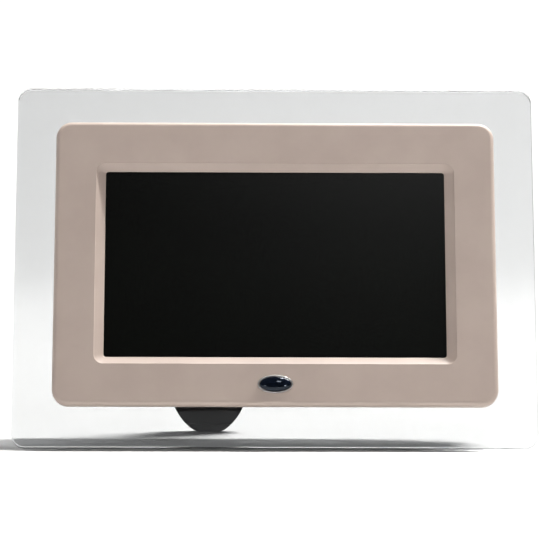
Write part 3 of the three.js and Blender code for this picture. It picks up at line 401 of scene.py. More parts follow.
LENS_POCKET = 0.8
POCKET_ROOM = 0.2
lens_at = middle_of("receiver_lens")
lens_low, lens_high = extent("receiver_lens")
rim_low, rim_high = extent("receiver_lens_rim")
lens_half = (lens_high - lens_low) / 2
rim_half = (rim_high - rim_low) / 2
pocket = ellipse(rim_half[0] + POCKET_ROOM, rim_half[2] + POCKET_ROOM, lens_at[0], lens_at[2])
light_hole = ellipse(lens_half[0] - 1.1, lens_half[2] - 1.1, lens_at[0], lens_at[2])
combine(
    bezel,
    [
        skin("pocket", [at_depth(pocket, bezel_front - PAST), at_depth(pocket, bezel_front + LENS_POCKET)]),
        skin("light_hole", [at_depth(light_hole, bezel_front), at_depth(light_hole, bezel_back + PAST)]),
        *[rod(CLAMP_HOLE_RADIUS, bezel_front + 1.3, PAST, at[0], at[2]) for at in clamp_places],
    ],
    smooth=40,
)


def moulded_plastic(name, dark, light, roughness, grain, grain_depth, wave_depth=0.01, specular=0.5):
    """Injection-moulded plastic: two close shades, a fine surface grain and slight waves from cooling."""
    material, shader, node, feed = new_finish(name)
    feed(tones(node, speckle(node, 18, 3), dark, light, 0.35, 0.65), "Base Color")
    fine = speckle(node, grain, 3)
    feed(remap(node, fine, roughness[0], roughness[1]), "Roughness")
    shader.inputs["Specular IOR Level"].default_value = specular
    waves = speckle(node, 24, 1)
    feed(dents(node, [(waves, wave_depth), (fine, grain_depth)]), "Normal")
    return material


bezel_paint = moulded_plastic(
    "satin_mushroom_plastic", (0.46, 0.372, 0.325), (0.49, 0.4, 0.35), (0.4, 0.5), 0.35, 0.004, 0.02
)
finish_piece(bezel, bezel_paint, "frame", "bezel_shell", "front_bezel")

# ---- Receiver window in the lower border ----
# A glossy blue-black dome that passes infrared, pressed into a plated oval rim. The remote's receiver sits
# behind it on three leads, in a notch of the clear plate.

RIM_WALL = 0.6
LENS_SEAT = 0.2
rim_front, rim_back = rim_low[1], rim_high[1]


def rim_ring(inset, y):
    return at_depth(ellipse(rim_half[0] - inset, rim_half[2] - inset, lens_at[0], lens_at[2]), y)


rim_round = RIM_WALL / 2
rim_rings = [rim_ring(0.0, rim_back)]
for step in range(13):
    turn = math.pi * step / 12
    rim_rings.append(
        rim_ring(rim_round * (1 - math.cos(turn)), rim_front + rim_round * (1 - math.sin(turn)))
    )
rim_rings.append(rim_ring(RIM_WALL, rim_back))
rim = skin("receiver_rim", rim_rings, closed=True, smooth=50)

dome_start = bezel_front - LENS_SEAT
dome_rise = dome_start - lens_low[1]
dome_rings = []
for step in range(22):
    height = math.pi / 2 * (1 - (step + 0.35) / 22)
    share = math.cos(height)
    outline = ellipse(lens_half[0] * share, lens_half[2] * share, lens_at[0], lens_at[2])
    dome_rings.append(at_depth(outline, dome_start - dome_rise * math.sin(height)))
lens_edge = ellipse(lens_half[0], lens_half[2], lens_at[0], lens_at[2])
dome_rings += [at_depth(lens_edge, dome_start), at_depth(lens_edge, lens_high[1])]
lens = skin("receiver_dome", dome_rings, smooth=50)


def plated_trim():
    """Bright nickel plate on plastic, with a slight haze and hairline wiping marks."""
    material, shader, node, feed = new_finish("plated_trim")
    shader.inputs["Metallic"].default_value = 1.0
    feed(tones(node, speckle(node, 1.6), (0.5, 0.49, 0.49), (0.6, 0.59, 0.59)), "Base Color")
    feed(remap(node, speckle(node, 0.5, 4, 0.6, (1.0, 1.0, 4.0)), 0.36, 0.5), "Roughness")
    feed(dents(node, [(speckle(node, 2.5, 2), 0.01)]), "Normal")
    return material


def infrared_glass():
    """Deep blue-black polycarbonate, polished, with the faint orange-peel of a moulded dome."""
    material, shader, node, feed = new_finish("infrared_dome")
    feed(tones(node, speckle(node, 5, 2), (0.0022, 0.0035, 0.0075), (0.004, 0.007, 0.015)), "Base Color")
    feed(remap(node, speckle(node, 0.8), 0.03, 0.08), "Roughness")
    shader.inputs["Specular IOR Level"].default_value = 0.3
    shader.inputs["Coat Weight"].default_value = 0.1
    shader.inputs["Coat Roughness"].default_value = 0.03
    # Painted reflection: the blue specular tint colours every reflection on the dome blue, in place of a bluish sky
    # or window reflected in it.
    shader.inputs["Specular Tint"].default_value = (0.72, 0.85, 1.0, 1.0)
    feed(dents(node, [(speckle(node, 3.0, 1), 0.004)]), "Normal")
    return material


finish_piece(rim, plated_trim(), "frame", "silver_trim", "receiver_lens_rim")
finish_piece(lens, infrared_glass(), "frame", "dark_lens", "receiver_lens")

# ---- LCD module ----
# A 7-inch panel: dark anti-glare glass in a folded steel frame, over a white backlight tray. It sits in the
# plate's cut-out, with the bezel's window in front of it and the main board behind.


def dress(material, *names):
    """Gives carried-over CAD nodes a finish."""
    for name in names:
        node = frame["nodes"][name]
        node.data.materials.clear()
        node.data.materials.append(material)


def anti_glare_glass():
    """Black when it is off: a dark polariser under a finely etched film that blurs what it reflects."""
    material, shader, node, feed = new_finish("anti_glare_screen")
    feed(
        tones(node, speckle(node, 70, 1), (0.0004, 0.0008, 0.0003), (0.0008, 0.0013, 0.0006)), "Base Color"
    )
    etched = speckle(node, 0.12, 2)
    feed(remap(node, etched, 0.24, 0.3), "Roughness")
    feed(dents(node, [(speckle(node, 45, 1), 0.02), (etched, 0.0006)]), "Normal")
    shader.inputs["Specular IOR Level"].default_value = 0.18
    return material


def sheet_steel(name, dark, light, roughness, stretch=(1.0, 1.0, 1.0), flake=1.4):
    """Rolled or plated steel: cloudy plating, fine directional rubbing and a few shallow dents."""
    material, shader, node, feed = new_finish(name)
    shader.inputs["Metallic"].default_value = 1.0
    feed(tones(node, speckle(node, flake, 4), dark, light), "Base Color")
    rubbed = speckle(node, 0.3, 3, 0.6, stretch)
    feed(remap(node, rubbed, roughness[0], roughness[1]), "Roughness")
    feed(dents(node, [(speckle(node, 9, 1), 0.01), (rubbed, 0.002)]), "Normal")
    return material


dress(anti_glare_glass(), "lcd_glass")
galvanised = sheet_steel(
    "galvanised_sheet", (0.42, 0.43, 0.45), (0.56, 0.57, 0.58), (0.3, 0.5), (1.0, 1.0, 6.0), 3.0
)
dress(galvanised, "lcd_metal_frame")
white_plastic = moulded_plastic(
    "white_tray_plastic", (0.7, 0.69, 0.66), (0.76, 0.75, 0.72), (0.42, 0.55), 0.5, 0.006
)
dress(white_plastic, "lcd_backlight")
epoxy = moulded_plastic(
    "black_epoxy", (0.011, 0.011, 0.012), (0.02, 0.02, 0.022), (0.45, 0.62), 0.12, 0.006
)
dress(epoxy, "ir_receiver")

# ---- Rear housing ----
# A deep tray of black plastic with drafted sides and a spark-textured face. Its posts take the clamping
# screws, and its wall is pierced for the keys, the turntable, the vents, the speakers and the sockets.

HOUSING_CORNER = 11.0
HOUSING_ROLL = 2.4
HOUSING_WALL = 2.0
HOUSING_TAPER = {"side": 2.5, "bottom": 5.0, "top": 4.5}
RIM_EASE = 0.3
SLOT_FLARE = 0.35
housing_low, housing_high = extent("rear_housing")
housing_front, housing_back = housing_low[1], housing_high[1]
housing_depth = housing_back - housing_front
inner_back = housing_back - HOUSING_WALL


def housing_edges(y):
    """The tray's left, right, bottom and top at a depth, as its sides draw in towards the rear."""
    left, right, bottom, top = edges_of("rear_housing")
    share = (y - housing_front) / housing_depth
    side = HOUSING_TAPER["side"] * share
    bottom, top = bottom + HOUSING_TAPER["bottom"] * share, top - HOUSING_TAPER["top"] * share
    return left + side, right - side, bottom, top


def housing_ring(y, inset=0.0):
    return at_depth(rounded_outline(housing_edges(y), HOUSING_CORNER, inset), y)


outer_rings = [housing_ring(housing_back, HOUSING_ROLL + FLAT_BAND)]
outer_rings += [
    housing_ring(housing_back - depth, inset) for inset, depth in quarter_round(HOUSING_ROLL, 9)
]
front_rim = [
    housing_ring(housing_front + depth, inset) for inset, depth in reversed(quarter_round(RIM_EASE, 3))
]
housing = skin(
    "housing_tray",
    [
        *outer_rings,
        housing_ring(housing_front + 2),
        *front_rim,
        housing_ring(housing_front, HOUSING_WALL),
        housing_ring(inner_back - 1, HOUSING_WALL),
        housing_ring(inner_back, HOUSING_WALL + 1),
    ],
)
CLAMP_POST_RADIUS = 4.0
BOARD_POST_RADIUS = 2.6
INTO_WALL = 0.5
board_high = extent("main_board")[1]
board_places = [middle_of(f"board_screw_{number}") for number in range(1, 5)]
posts = [rod(CLAMP_POST_RADIUS, housing_front, inner_back + INTO_WALL, at[0], at[2]) for at in clamp_places]
posts += [
    rod(BOARD_POST_RADIUS, board_high[1] + 0.3, inner_back + INTO_WALL, at[0], at[2]) for at in board_places
]
combine(housing, posts, "UNION")


def layout_tree(name, in_a_row):
    """Sets a form out in a straight row, or on the points of the piece that the tree is put on."""
    tree = bpy.data.node_groups.new(name, "GeometryNodeTree")
    sockets = [
        ("Places", "NodeSocketGeometry"), ("Form", "NodeSocketObject"), ("Finish", "NodeSocketMaterial")
    ]
    if in_a_row:
        sockets += [("Count", "NodeSocketInt"), ("Start", "NodeSocketVector"), ("Step", "NodeSocketVector")]
    for label, kind in sockets:
        tree.interface.new_socket(label, in_out="INPUT", socket_type=kind)
    tree.interface.new_socket("Geometry", in_out="OUTPUT", socket_type="NodeSocketGeometry")
    given = tree.nodes.new("NodeGroupInput").outputs
    form = tree.nodes.new("GeometryNodeObjectInfo")
    copies = tree.nodes.new("GeometryNodeInstanceOnPoints")
    real = tree.nodes.new("GeometryNodeRealizeInstances")
    painted = tree.nodes.new("GeometryNodeSetMaterial")
    result = tree.nodes.new("NodeGroupOutput")
    places = given["Places"]
    if in_a_row:
        row = tree.nodes.new("GeometryNodeMeshLine")
        row.mode = "OFFSET"
        for label, socket in (("Count", "Count"), ("Start", "Start Location"), ("Step", "Offset")):
            tree.links.new(given[label], row.inputs[socket])
        places = row.outputs["Mesh"]
    tree.links.new(given["Form"], form.inputs["Object"])
    tree.links.new(places, copies.inputs["Points"])
    tree.links.new(form.outputs["Geometry"], copies.inputs["Instance"])
    tree.links.new(copies.outputs["Instances"], real.inputs["Geometry"])
    tree.links.new(real.outputs["Geometry"], painted.inputs["Geometry"])
    tree.links.new(given["Finish"], painted.inputs["Material"])
    tree.links.new(painted.outputs["Geometry"], result.inputs["Geometry"])
    return tree


row_tree = layout_tree("forms_in_a_row", True)
place_tree = layout_tree("forms_at_places", False)


def lay_out(name, tree, form, finish=None, points=(), **inputs):
    """Runs a layout tree and keeps the result as one plain mesh, still in millimetres."""
    mesh = bpy.data.meshes.new(name)
    mesh.from_pydata([tuple(point) for point in points], [], [])
    piece = bpy.data.objects.new(name, mesh)
    bpy.context.scene.collection.objects.link(piece)
    layout = piece.modifiers.new("layout", "NODES")
    layout.node_group = tree
    values = {"Form": form, "Finish": finish, **inputs}
    for socket in tree.interface.items_tree:
        if socket.in_out == "INPUT" and socket.name in values and values[socket.name] is not None:
            layout[socket.identifier] = values[socket.name]
    return bake(piece)


def opening_form(outline_at, deep, flare=SLOT_FLARE):
    """A cutter for an opening in a wall whose outer face is at depth 0, with its mouth flared a little."""
    rings = [at_depth(outline_at(0.0), -deep), at_depth(outline_at(0.0), -flare)]
    rings += [at_depth(outline_at(flare), 0.0), at_depth(outline_at(flare + 0.01), PAST)]
    return skin("opening", rings)


def slot_row(count, pitch, width, height, x, z):
    """Upright slots with round ends, side by side through the rear wall."""

    def outline_at(grown):
        edges = -width / 2 - grown, width / 2 + grown, -height / 2 - grown, height / 2 + grown
        return rounded_outline(edges, width / 2 + grown, steps=5)

    form = opening_form(outline_at, HOUSING_WALL + PAST)
    start = (x - (count - 1) * pitch / 2, housing_back, z)
    row = lay_out("slots", row_tree, form, Count=count, Start=start, Step=(pitch, 0.0, 0.0))
    bpy.data.objects.remove(form)
    return row


def wall_opening(y0, y1, z0, z1, corner):
    """Cuts the right-hand wall round a part with these edges, with room all round and round corners."""
    edges = y0 - PART_ROOM, y1 + PART_ROOM, z0 - PART_ROOM, z1 + PART_ROOM
    outline = rounded_outline(edges, corner, steps=4)
    return skin("block", [[Vector((x, y, z)) for y, z in outline] for x in (wall_inside, wall_outside)])


SPEAKER_SLOTS = {"count": 8, "pitch": 3.8, "width": 1.8, "height": 12.0}
VENT_SLOTS = {"count": 9, "pitch": 5.0, "width": 2.0, "height": 11.0}
VENTS_BELOW_BOARD_TOP = 13.0
LABEL_WIDTH, LABEL_HEIGHT, LABEL_DEPTH = 50.0, 26.0, 0.3
LABEL_ABOVE_BOARD_EDGE = 6.0
KEY_FLANGE = 1.0
PART_ROOM = 0.3
SOCKET_OPENING_CORNER, CARD_OPENING_CORNER, KNOB_OPENING_CORNER = 0.5, 0.8, 0.3
COUNTERBORE_RADIUS = 2.7
board_edges = edges_of("main_board")
board_middle = (board_edges[0] + board_edges[1]) / 2
label_z = board_edges[2] + LABEL_ABOVE_BOARD_EDGE + LABEL_HEIGHT / 2
label_edges = (
    board_middle - LABEL_WIDTH / 2,
    board_middle + LABEL_WIDTH / 2,
    label_z - LABEL_HEIGHT / 2,
    label_z + LABEL_HEIGHT / 2,
)
hub = middle_of("turntable_retainer")
spigot_radius = 15.0
key_names = [f"key_cap_{number}" for number in range(1, 7)]
key_low, key_high = extent("key_cap_1")
key_half = Vector(
    ((key_high[0] - key_low[0]) / 2 - KEY_FLANGE, 0.0, (key_high[2] - key_low[2]) / 2 - KEY_FLANGE)
)


def key_opening(grown):
    reach = PART_ROOM + grown
    edges = -key_half[0] - reach, key_half[0] + reach, -key_half[2] - reach, key_half[2] + reach
    return rounded_outline(edges, 1.4 + grown, steps=5)


cutters = []
for side_node in ("speaker_left", "speaker_right"):
    speaker_at = middle_of(side_node)
    cutters.append(slot_row(x=speaker_at[0], z=speaker_at[2], **SPEAKER_SLOTS))
cutters.append(slot_row(x=board_middle, z=board_edges[3] - VENTS_BELOW_BOARD_TOP, **VENT_SLOTS))
key_form = opening_form(key_opening, HOUSING_WALL + PAST, 0.25)
key_points = [(middle_of(name)[0], housing_back, middle_of(name)[2]) for name in key_names]
cutters.append(lay_out("key_openings", place_tree, key_form, points=key_points))
bpy.data.objects.remove(key_form)
cutters.append(rod(spigot_radius + PART_ROOM, inner_back - PAST, housing_back + PAST, hub[0], hub[2], 64))
seat = extent("housing_screw_1")[1][1] - 1.6 - PART_ROOM
cutters += [rod(CLAMP_HOLE_RADIUS, housing_front - PAST, seat + PAST, at[0], at[2]) for at in clamp_places]
for at in clamp_places:
    steps = ((0.0, seat), (0.0, housing_back - 0.4), (0.45, housing_back), (0.46, housing_back + PAST))
    rings = [(COUNTERBORE_RADIUS + flare, y) for flare, y in steps]
    cutters.append(skin("counterbore", [at_depth(ellipse(r, r, at[0], at[2], 40), y) for r, y in rings]))
label_outline = rounded_outline(label_edges, 1.5, steps=6)
label_recess = [
    at_depth(label_outline, housing_back - LABEL_DEPTH), at_depth(label_outline, housing_back + PAST)
]
cutters.append(skin("label_recess", label_recess))
wall_inside = housing_edges(housing_front)[1] - HOUSING_TAPER["side"] - HOUSING_WALL - PAST
wall_outside = housing_edges(housing_front)[1] + PAST
for name in ("dc_inlet", "earphone_socket", "mini_usb_socket", "usb_socket"):
    low, high = extent(name)
    cutters.append(wall_opening(low[1], high[1], low[2], high[2], SOCKET_OPENING_CORNER))
CARD_OPENING = (24.8, 2.6)
card_low, card_high = extent("card_socket")
card_middle = (card_low + card_high) / 2
card_edges = (
    card_middle[1] - CARD_OPENING[1] / 2, card_middle[1] + CARD_OPENING[1] / 2,
    card_middle[2] - CARD_OPENING[0] / 2, card_middle[2] + CARD_OPENING[0] / 2,
)
cutters.append(wall_opening(*card_edges, CARD_OPENING_CORNER))
KNOB_TRAVEL = joints["power_slide"]["range_m"][1] / MM
knob_low, knob_high = extent("power_switch_knob")
knob_edges = knob_low[1], knob_high[1], knob_low[2], knob_high[2] + KNOB_TRAVEL
cutters.append(wall_opening(*knob_edges, KNOB_OPENING_CORNER))
combine(housing, cutters)
spark_black = moulded_plastic(
    "spark_textured_black", (0.0085, 0.0085, 0.009),
    (0.013, 0.013, 0.0135), (0.44, 0.6), 0.42, 0.02, 0.03, 0.32
)
finish_piece(housing, spark_black, "frame", "housing_plastic", "rear_housing")

# ---- Rating label ----
# A blank satin foil sticker with a printed border, laid in the shallow recess of the rear face.

LABEL_MARGIN = 0.5
LABEL_THICK = 0.14
label_foot = housing_back - LABEL_DEPTH + 0.01
label = skin(
    "blank_label",
    [
        at_depth(rounded_outline(label_edges, 1.5, LABEL_MARGIN, 6), label_foot),
        at_depth(rounded_outline(label_edges, 1.5, LABEL_MARGIN, 6), label_foot + LABEL_THICK - 0.03),
        at_depth(rounded_outline(label_edges, 1.5, LABEL_MARGIN + 0.03, 6), label_foot + LABEL_THICK),
    ],
)
BORDER_LINE = 0.35
border = skin(
    "label_border",
    [
        at_depth(rounded_outline(label_edges, 1.5, inset, 6), label_foot + LABEL_THICK + height)
        for inset, height in ((1.5, 0.0), (1.5, 0.02), (1.5 + BORDER_LINE, 0.02), (1.5 + BORDER_LINE, 0.0))
    ],
    closed=True,
)


def foil_paper():
    """Brushed silver foil under a clear film, creased very slightly."""
    material, shader, node, feed = new_finish("silver_foil")
    feed(tones(node, speckle(node, 0.4, 2, 0.5, (0.1, 1.0, 1.0)), (0.42, 0.43, 0.44), (0.5, 0.51, 0.52)),
    "Base Color")
    shader.inputs["Metallic"].default_value = 0.7
    feed(remap(node, speckle(node, 0.5), 0.32, 0.44), "Roughness")
    feed(dents(node, [(speckle(node, 7, 2), 0.015)]), "Normal")
    return material


finish_piece(label, foil_paper(), "frame", "silver_trim")
finish_piece(border, epoxy, "frame", "chip_black")

# ---- Screws ----
# Pan-head screws with a cross recess, zinc-plated steel. Four clamp the housing through the plate into the
# bezel, four hold the main board to its posts, and three hold the retaining plate to the turntable.

CROSS_ARM = 0.62
CROSS_SLOT = 0.17
CROSS_DEPTH = 0.6
THREAD_PITCH = 0.8


def screw_form(node, head_radius, shank_radius, head_thick, head_at_rear):
    """One screw of a node's length, drawn with its head's end at the origin and its shank along the depth."""
    low, high = extent(node)
    length = high[1] - low[1]
    rings = []
    for step in range(7):
        turn = math.pi / 2 * step / 6
        rings.append((head_radius * math.sin(turn * 0.98 + 0.02), head_thick * 0.45 * (1 - math.cos(turn))))
    rings += [(head_radius, head_thick - 0.15),
    (head_radius - 0.15, head_thick), (shank_radius, head_thick + 0.02)]
    threads = int((length - head_thick - 1.0) / THREAD_PITCH)
    for thread in range(threads):
        start = head_thick + 0.4 + thread * THREAD_PITCH
        rings += [(shank_radius * 0.8, start), (shank_radius, start + THREAD_PITCH / 2)]
    rings += [(shank_radius * 0.8, length - 0.5), (shank_radius * 0.3, length)]
    forward = -1 if head_at_rear else 1
    body = skin(
        "screw", [at_depth(ellipse(r, r, steps=28), forward * depth) for r, depth in rings], smooth=35
    )
    arm, slot, deep = head_radius * CROSS_ARM, head_radius * CROSS_SLOT, head_thick * CROSS_DEPTH
    blades = []
    for wide, tall in ((arm, slot), (slot, arm)):
        mouth = rounded_outline((-wide, wide, -tall, tall), 0.05, steps=2)
        floor = [(x * 0.55, z * 0.55) if max(abs(x), abs(z)) > slot * 1.5 else (x, z) for x, z in mouth]
        blades.append(
            skin(
                "blade", [at_depth(mouth, -forward), at_depth(mouth, 0.0), at_depth(floor, forward * deep)]
            )
        )
    return combine(body, blades)


def set_screws(name, nodes, body, finish, head_at_rear, **sizes):
    """All the screws of one kind as one piece: each sits where its CAD node is."""
    form = screw_form(nodes[0], head_at_rear=head_at_rear, **sizes)
    points = []
    for node in nodes:
        low, high = extent(node)
        middle = (low + high) / 2
        points.append((middle[0], high[1] if head_at_rear else low[1], middle[2]))
    piece = lay_out(name, place_tree, form, finish, points)
    bpy.data.objects.remove(form)
    finish_piece(piece, finish, body, "steel", *nodes)


zinc = sheet_steel(
    "zinc_plated_steel", (0.5, 0.5, 0.49), (0.62, 0.62, 0.6), (0.2, 0.36), (1.0, 1.0, 1.0), 0.8
)
small_screw = {"head_radius": 2.1, "shank_radius": 1.0, "head_thick": 1.3}
clamp_nodes = [f"housing_screw_{number}" for number in range(1, 5)]
set_screws(
    "clamping_screws", clamp_nodes, "frame", zinc, True, head_radius=2.4, shank_radius=1.2, head_thick=1.6
)
set_screws("board_screws", [f"board_screw_{n}" for n in range(1, 5)], "frame", zinc, False, **small_screw)
set_screws(
    "retainer_screws", [f"retainer_screw_{n}" for n in range(1, 4)], "turntable", zinc, False, **small_screw
)

# ---- Main board ----
# Green fibreglass with the processor, two memory chips, an inductor and two can capacitors on its rear side.
# The gull-wing leads stand in rows, and small parts are soldered in lines between the chips.


def circuit_board():
    """Solder mask over copper: lighter where a track or a copper field lies under it."""
    material, shader, node, feed = new_finish("green_circuit_board")
    place = node("ShaderNodeTexCoord").outputs["Object"]
    fields = node("ShaderNodeTexVoronoi", {"Vector": place, "Scale": 260.0}, distance="CHEBYCHEV")
    tracks = remap(node, fields.outputs["Distance"], 0.0, 1.0, 0.42, 0.46)
    feed(tones(node, tracks, (0.006, 0.05, 0.02), (0.014, 0.1, 0.042), 0.0, 1.0), "Base Color")
    feed(remap(node, speckle(node, 0.7), 0.24, 0.38), "Roughness")
    feed(dents(node, [(tracks, 0.03)]), "Normal")
    return material


board_green = circuit_board()
dress(board_green, "main_board", "key_board")
chip_nodes = ("processor_chip", "memory_chip_1", "memory_chip_2")
dress(epoxy, *chip_nodes, *[f"key_switch_{number}" for number in range(1, 7)])
copper = sheet_steel(
    "enamelled_copper", (0.32, 0.1, 0.035), (0.45, 0.16, 0.06), (0.28, 0.42), (1.0, 8.0, 1.0), 0.6
)
dress(copper, "backlight_inductor")
aluminium = sheet_steel(
    "can_aluminium", (0.56, 0.56, 0.57), (0.68, 0.68, 0.69), (0.26, 0.4), (1.0, 6.0, 1.0), 0.9
)
dress(aluminium, "capacitor_1", "capacitor_2", "turntable_retainer")
tin = sheet_steel("tinned_leads", (0.55, 0.55, 0.54), (0.68, 0.68, 0.67), (0.22, 0.4), (1.0, 1.0, 1.0), 0.4)

LEAD_WIDTH = 0.3
LEAD_THICK = 0.15
LEAD_REACH = 1.3
LEAD_PITCH = 0.8
LEAD_END_ROOM = 1.2
board_face = board_high[1]


def lead_form(out_x, out_z):
    """One gull-wing lead that leaves a chip's side towards (out_x, out_z) and bends down to the board."""
    line = [(0.0, 0.75), (0.35, 0.75), (0.6, 0.2), (LEAD_REACH, 0.2)]
    mesh = bmesh.new()
    rows = []
    for along, height in line:
        corners = []
        for across, lift in ((-1, 0), (1, 0), (1, 1), (-1, 1)):
            x = out_x * along - out_z * across * LEAD_WIDTH / 2
            z = out_z * along + out_x * across * LEAD_WIDTH / 2
            corners.append(mesh.verts.new((x, height + lift * LEAD_THICK, z)))
        rows.append(corners)
    for near, far in zip(rows, rows[1:]):
        for i in range(4):
            j = (i + 1) % 4
            mesh.faces.new((near[i], near[j], far[j], far[i]))
    mesh.faces.new(rows[0])
    mesh.faces.new(rows[-1])
    return piece_from(mesh, "lead")


def joined(name, pieces):
    """Several pieces of one finish as a single mesh."""
    mesh = bmesh.new()
    for piece in pieces:
        mesh.from_mesh(piece.data)
    finish = pieces[0].data.materials[0] if pieces[0].data.materials else None
    for piece in pieces:
        bpy.data.objects.remove(piece)
    data = bpy.data.meshes.new(name)
    mesh.to_mesh(data)
    mesh.free()
    if finish is not None:
        data.materials.append(finish)
    made = bpy.data.objects.new(name, data)
    bpy.context.scene.collection.objects.link(made)
    return made


def lead_rows(node, both_ways):
    """Rows of leads along a chip's left and right sides, and along its top and bottom where it has them."""
    left, right, bottom, top = edges_of(node)
    sides = [(-1, 0, left), (1, 0, right)] + ([(0, -1, bottom), (0, 1, top)] if both_ways else [])
    rows = []
    for out_x, out_z, edge in sides:
        start, end = (bottom, top) if out_x else (left, right)
        count = int((end - start - 2 * LEAD_END_ROOM) / LEAD_PITCH) + 1
        first = (start + end - (count - 1) * LEAD_PITCH) / 2
        origin = (edge, board_face, first) if out_x else (first, board_face, edge)
        step = (0.0, 0.0, LEAD_PITCH) if out_x else (LEAD_PITCH, 0.0, 0.0)
        form = lead_form(out_x, out_z)
        rows.append(lay_out("leads", row_tree, form, tin, Count=count, Start=origin, Step=step))
        bpy.data.objects.remove(form)
    return rows


chip_leads = lead_rows("processor_chip", True) + lead_rows("memory_chip_1", False) + lead_rows(
    "memory_chip_2", False
)
finish_piece(joined("chip_leads", chip_leads), tin, "frame", "steel")

SMALL_PART = (1.6, 0.5, 0.8)
small_rows = []
wide, thick, tall = SMALL_PART
small_outline = rounded_outline((-wide / 2, wide / 2, -tall / 2, tall / 2), 0.1, steps=2)
small_form = skin("chip_resistor", [at_depth(small_outline, 0.0), at_depth(small_outline, thick)])
for row, offset in enumerate((-18.0, -11.0, -4.0, 3.0, 10.0, 17.0)):
    start = (board_edges[0] + 12.0 + 1.5 * (row % 2), board_face, offset)
    step = (3.2, 0.0, 0.0)
    small_rows.append(
        lay_out("small_parts", row_tree, small_form, epoxy, Count=5 + row % 3, Start=start, Step=step)
    )
bpy.data.objects.remove(small_form)
finish_piece(joined("small_board_parts", small_rows), epoxy, "frame", "chip_black")

# ---- Sockets in the right-hand wall ----
# Full-size and mini USB sockets and a card socket in folded, tinned shells with moulded tongues, and a power
# inlet and an earphone socket in black plastic. All are soldered to the main board and open to the right.

MOUTH_EASE = 0.12


def along_side(outline, x):
    """An outline of (depth, height) points, set at a place across the frame."""
    return [Vector((x, y, z)) for y, z in outline]


def side_outline(low, high, corner, inset=0.0):
    return rounded_outline((low[1], high[1], low[2], high[2]), corner, inset, 5)


def socket_shell(name, node, wall_y, wall_z, corner, floor=1.0):
    """A box that opens to the right, with thin walls and an eased mouth."""
    low, high = extent(node)
    inner_low = Vector((0, low[1] + wall_y, low[2] + wall_z))
    inner_high = Vector((0, high[1] - wall_y, high[2] - wall_z))
    deep = low[0] + floor
    rings = [
        along_side(side_outline(low, high, corner), low[0]),
        along_side(side_outline(low, high, corner), high[0] - MOUTH_EASE),
        along_side(side_outline(low, high, corner, MOUTH_EASE), high[0]),
        along_side(side_outline(inner_low, inner_high, max(corner - wall_y, 0.2), -MOUTH_EASE), high[0]),
        along_side(side_outline(inner_low, inner_high, max(corner - wall_y, 0.2)), high[0] - MOUTH_EASE),
        along_side(side_outline(inner_low, inner_high, max(corner - wall_y, 0.2)), deep),
    ]
    return skin(name, rings)


def tongue_in(name, node, wide, thick, contacts, pitch):
    """The moulded tongue inside a USB socket, and its row of spring contacts."""
    low, high = extent(node)
    middle = (low + high) / 2
    outline = rounded_outline(
        (middle[1] - thick / 2, middle[1] + thick / 2, middle[2] - wide / 2, middle[2] + wide / 2),
        0.2, steps=3
    )
    tongue = skin(name, [along_side(outline, low[0] + 1.1), along_side(outline, high[0] - 1.5)])
    finger_outline = rounded_outline((0.0, 0.18, -pitch * 0.3, pitch * 0.3), 0.06, steps=2)
    length = high[0] - low[0] - 4.0
    finger = skin("finger", [along_side(finger_outline, 0.0), along_side(finger_outline, length)])
    start = (low[0] + 2.0, middle[1] + thick / 2 + 0.01, middle[2] - (contacts - 1) * pitch / 2)
    row = lay_out(
        name + "_contacts", row_tree, finger, gold, Count=contacts, Start=start, Step=(0.0, 0.0, pitch)
    )
    bpy.data.objects.remove(finger)
    return tongue, row


gold = sheet_steel("gold_flash", (0.75, 0.5, 0.16), (0.86, 0.6, 0.24), (0.2, 0.34), (1.0, 1.0, 1.0), 0.5)
finish_piece(socket_shell("usb_shell", "usb_socket", 0.35, 0.35, 0.7), tin, "frame", "steel", "usb_socket")
usb_tongue, usb_contacts = tongue_in("usb_tongue", "usb_socket", 11.0, 1.8, 4, 2.5)
finish_piece(socket_shell("mini_usb_shell", "mini_usb_socket", 0.35, 0.35, 0.9),
tin, "frame", "steel", "mini_usb_socket")
mini_tongue, mini_contacts = tongue_in("mini_usb_tongue", "mini_usb_socket", 5.0, 1.0, 5, 0.8)
finish_piece(usb_tongue, white_plastic, "frame", "white_plastic")
finish_piece(mini_tongue, epoxy, "frame", "chip_black")
for row in (usb_contacts, mini_contacts):
    finish_piece(row, gold, "frame", "steel")
card_wall_y = (card_high[1] - card_low[1] - CARD_OPENING[1]) / 2
card_wall_z = (card_high[2] - card_low[2] - CARD_OPENING[0]) / 2
card_shell = socket_shell("card_shell", "card_socket", card_wall_y, card_wall_z, 0.4, 3.0)
finish_piece(card_shell, tin, "frame", "steel", "card_socket")


def side_rod(radius, x0, x1, y, z, ease=0.0, steps=32):
    """A round rod across the frame, with eased ends where it shows."""
    rings = [along_side(ellipse(radius - ease, radius - ease, y, z, steps), x0)]
    if ease:
        rings.append(along_side(ellipse(radius, radius, y, z, steps), x0 + ease))
        rings.append(along_side(ellipse(radius, radius, y, z, steps), x1 - ease))
    rings.append(along_side(ellipse(radius - ease, radius - ease, y, z, steps), x1))
    return skin("side_rod", rings)


def bored_block(name, node, radius, depth):
    low, high = extent(node)
    middle = (low + high) / 2
    rings = [along_side(side_outline(low, high, 0.5), low[0]),
    along_side(side_outline(low, high, 0.5), high[0] - 0.2)]
    block = skin(name, rings + [along_side(side_outline(low, high, 0.5, 0.2), high[0])])
    return combine(block, [side_rod(radius, high[0] - depth, high[0] + PAST, middle[1], middle[2])])


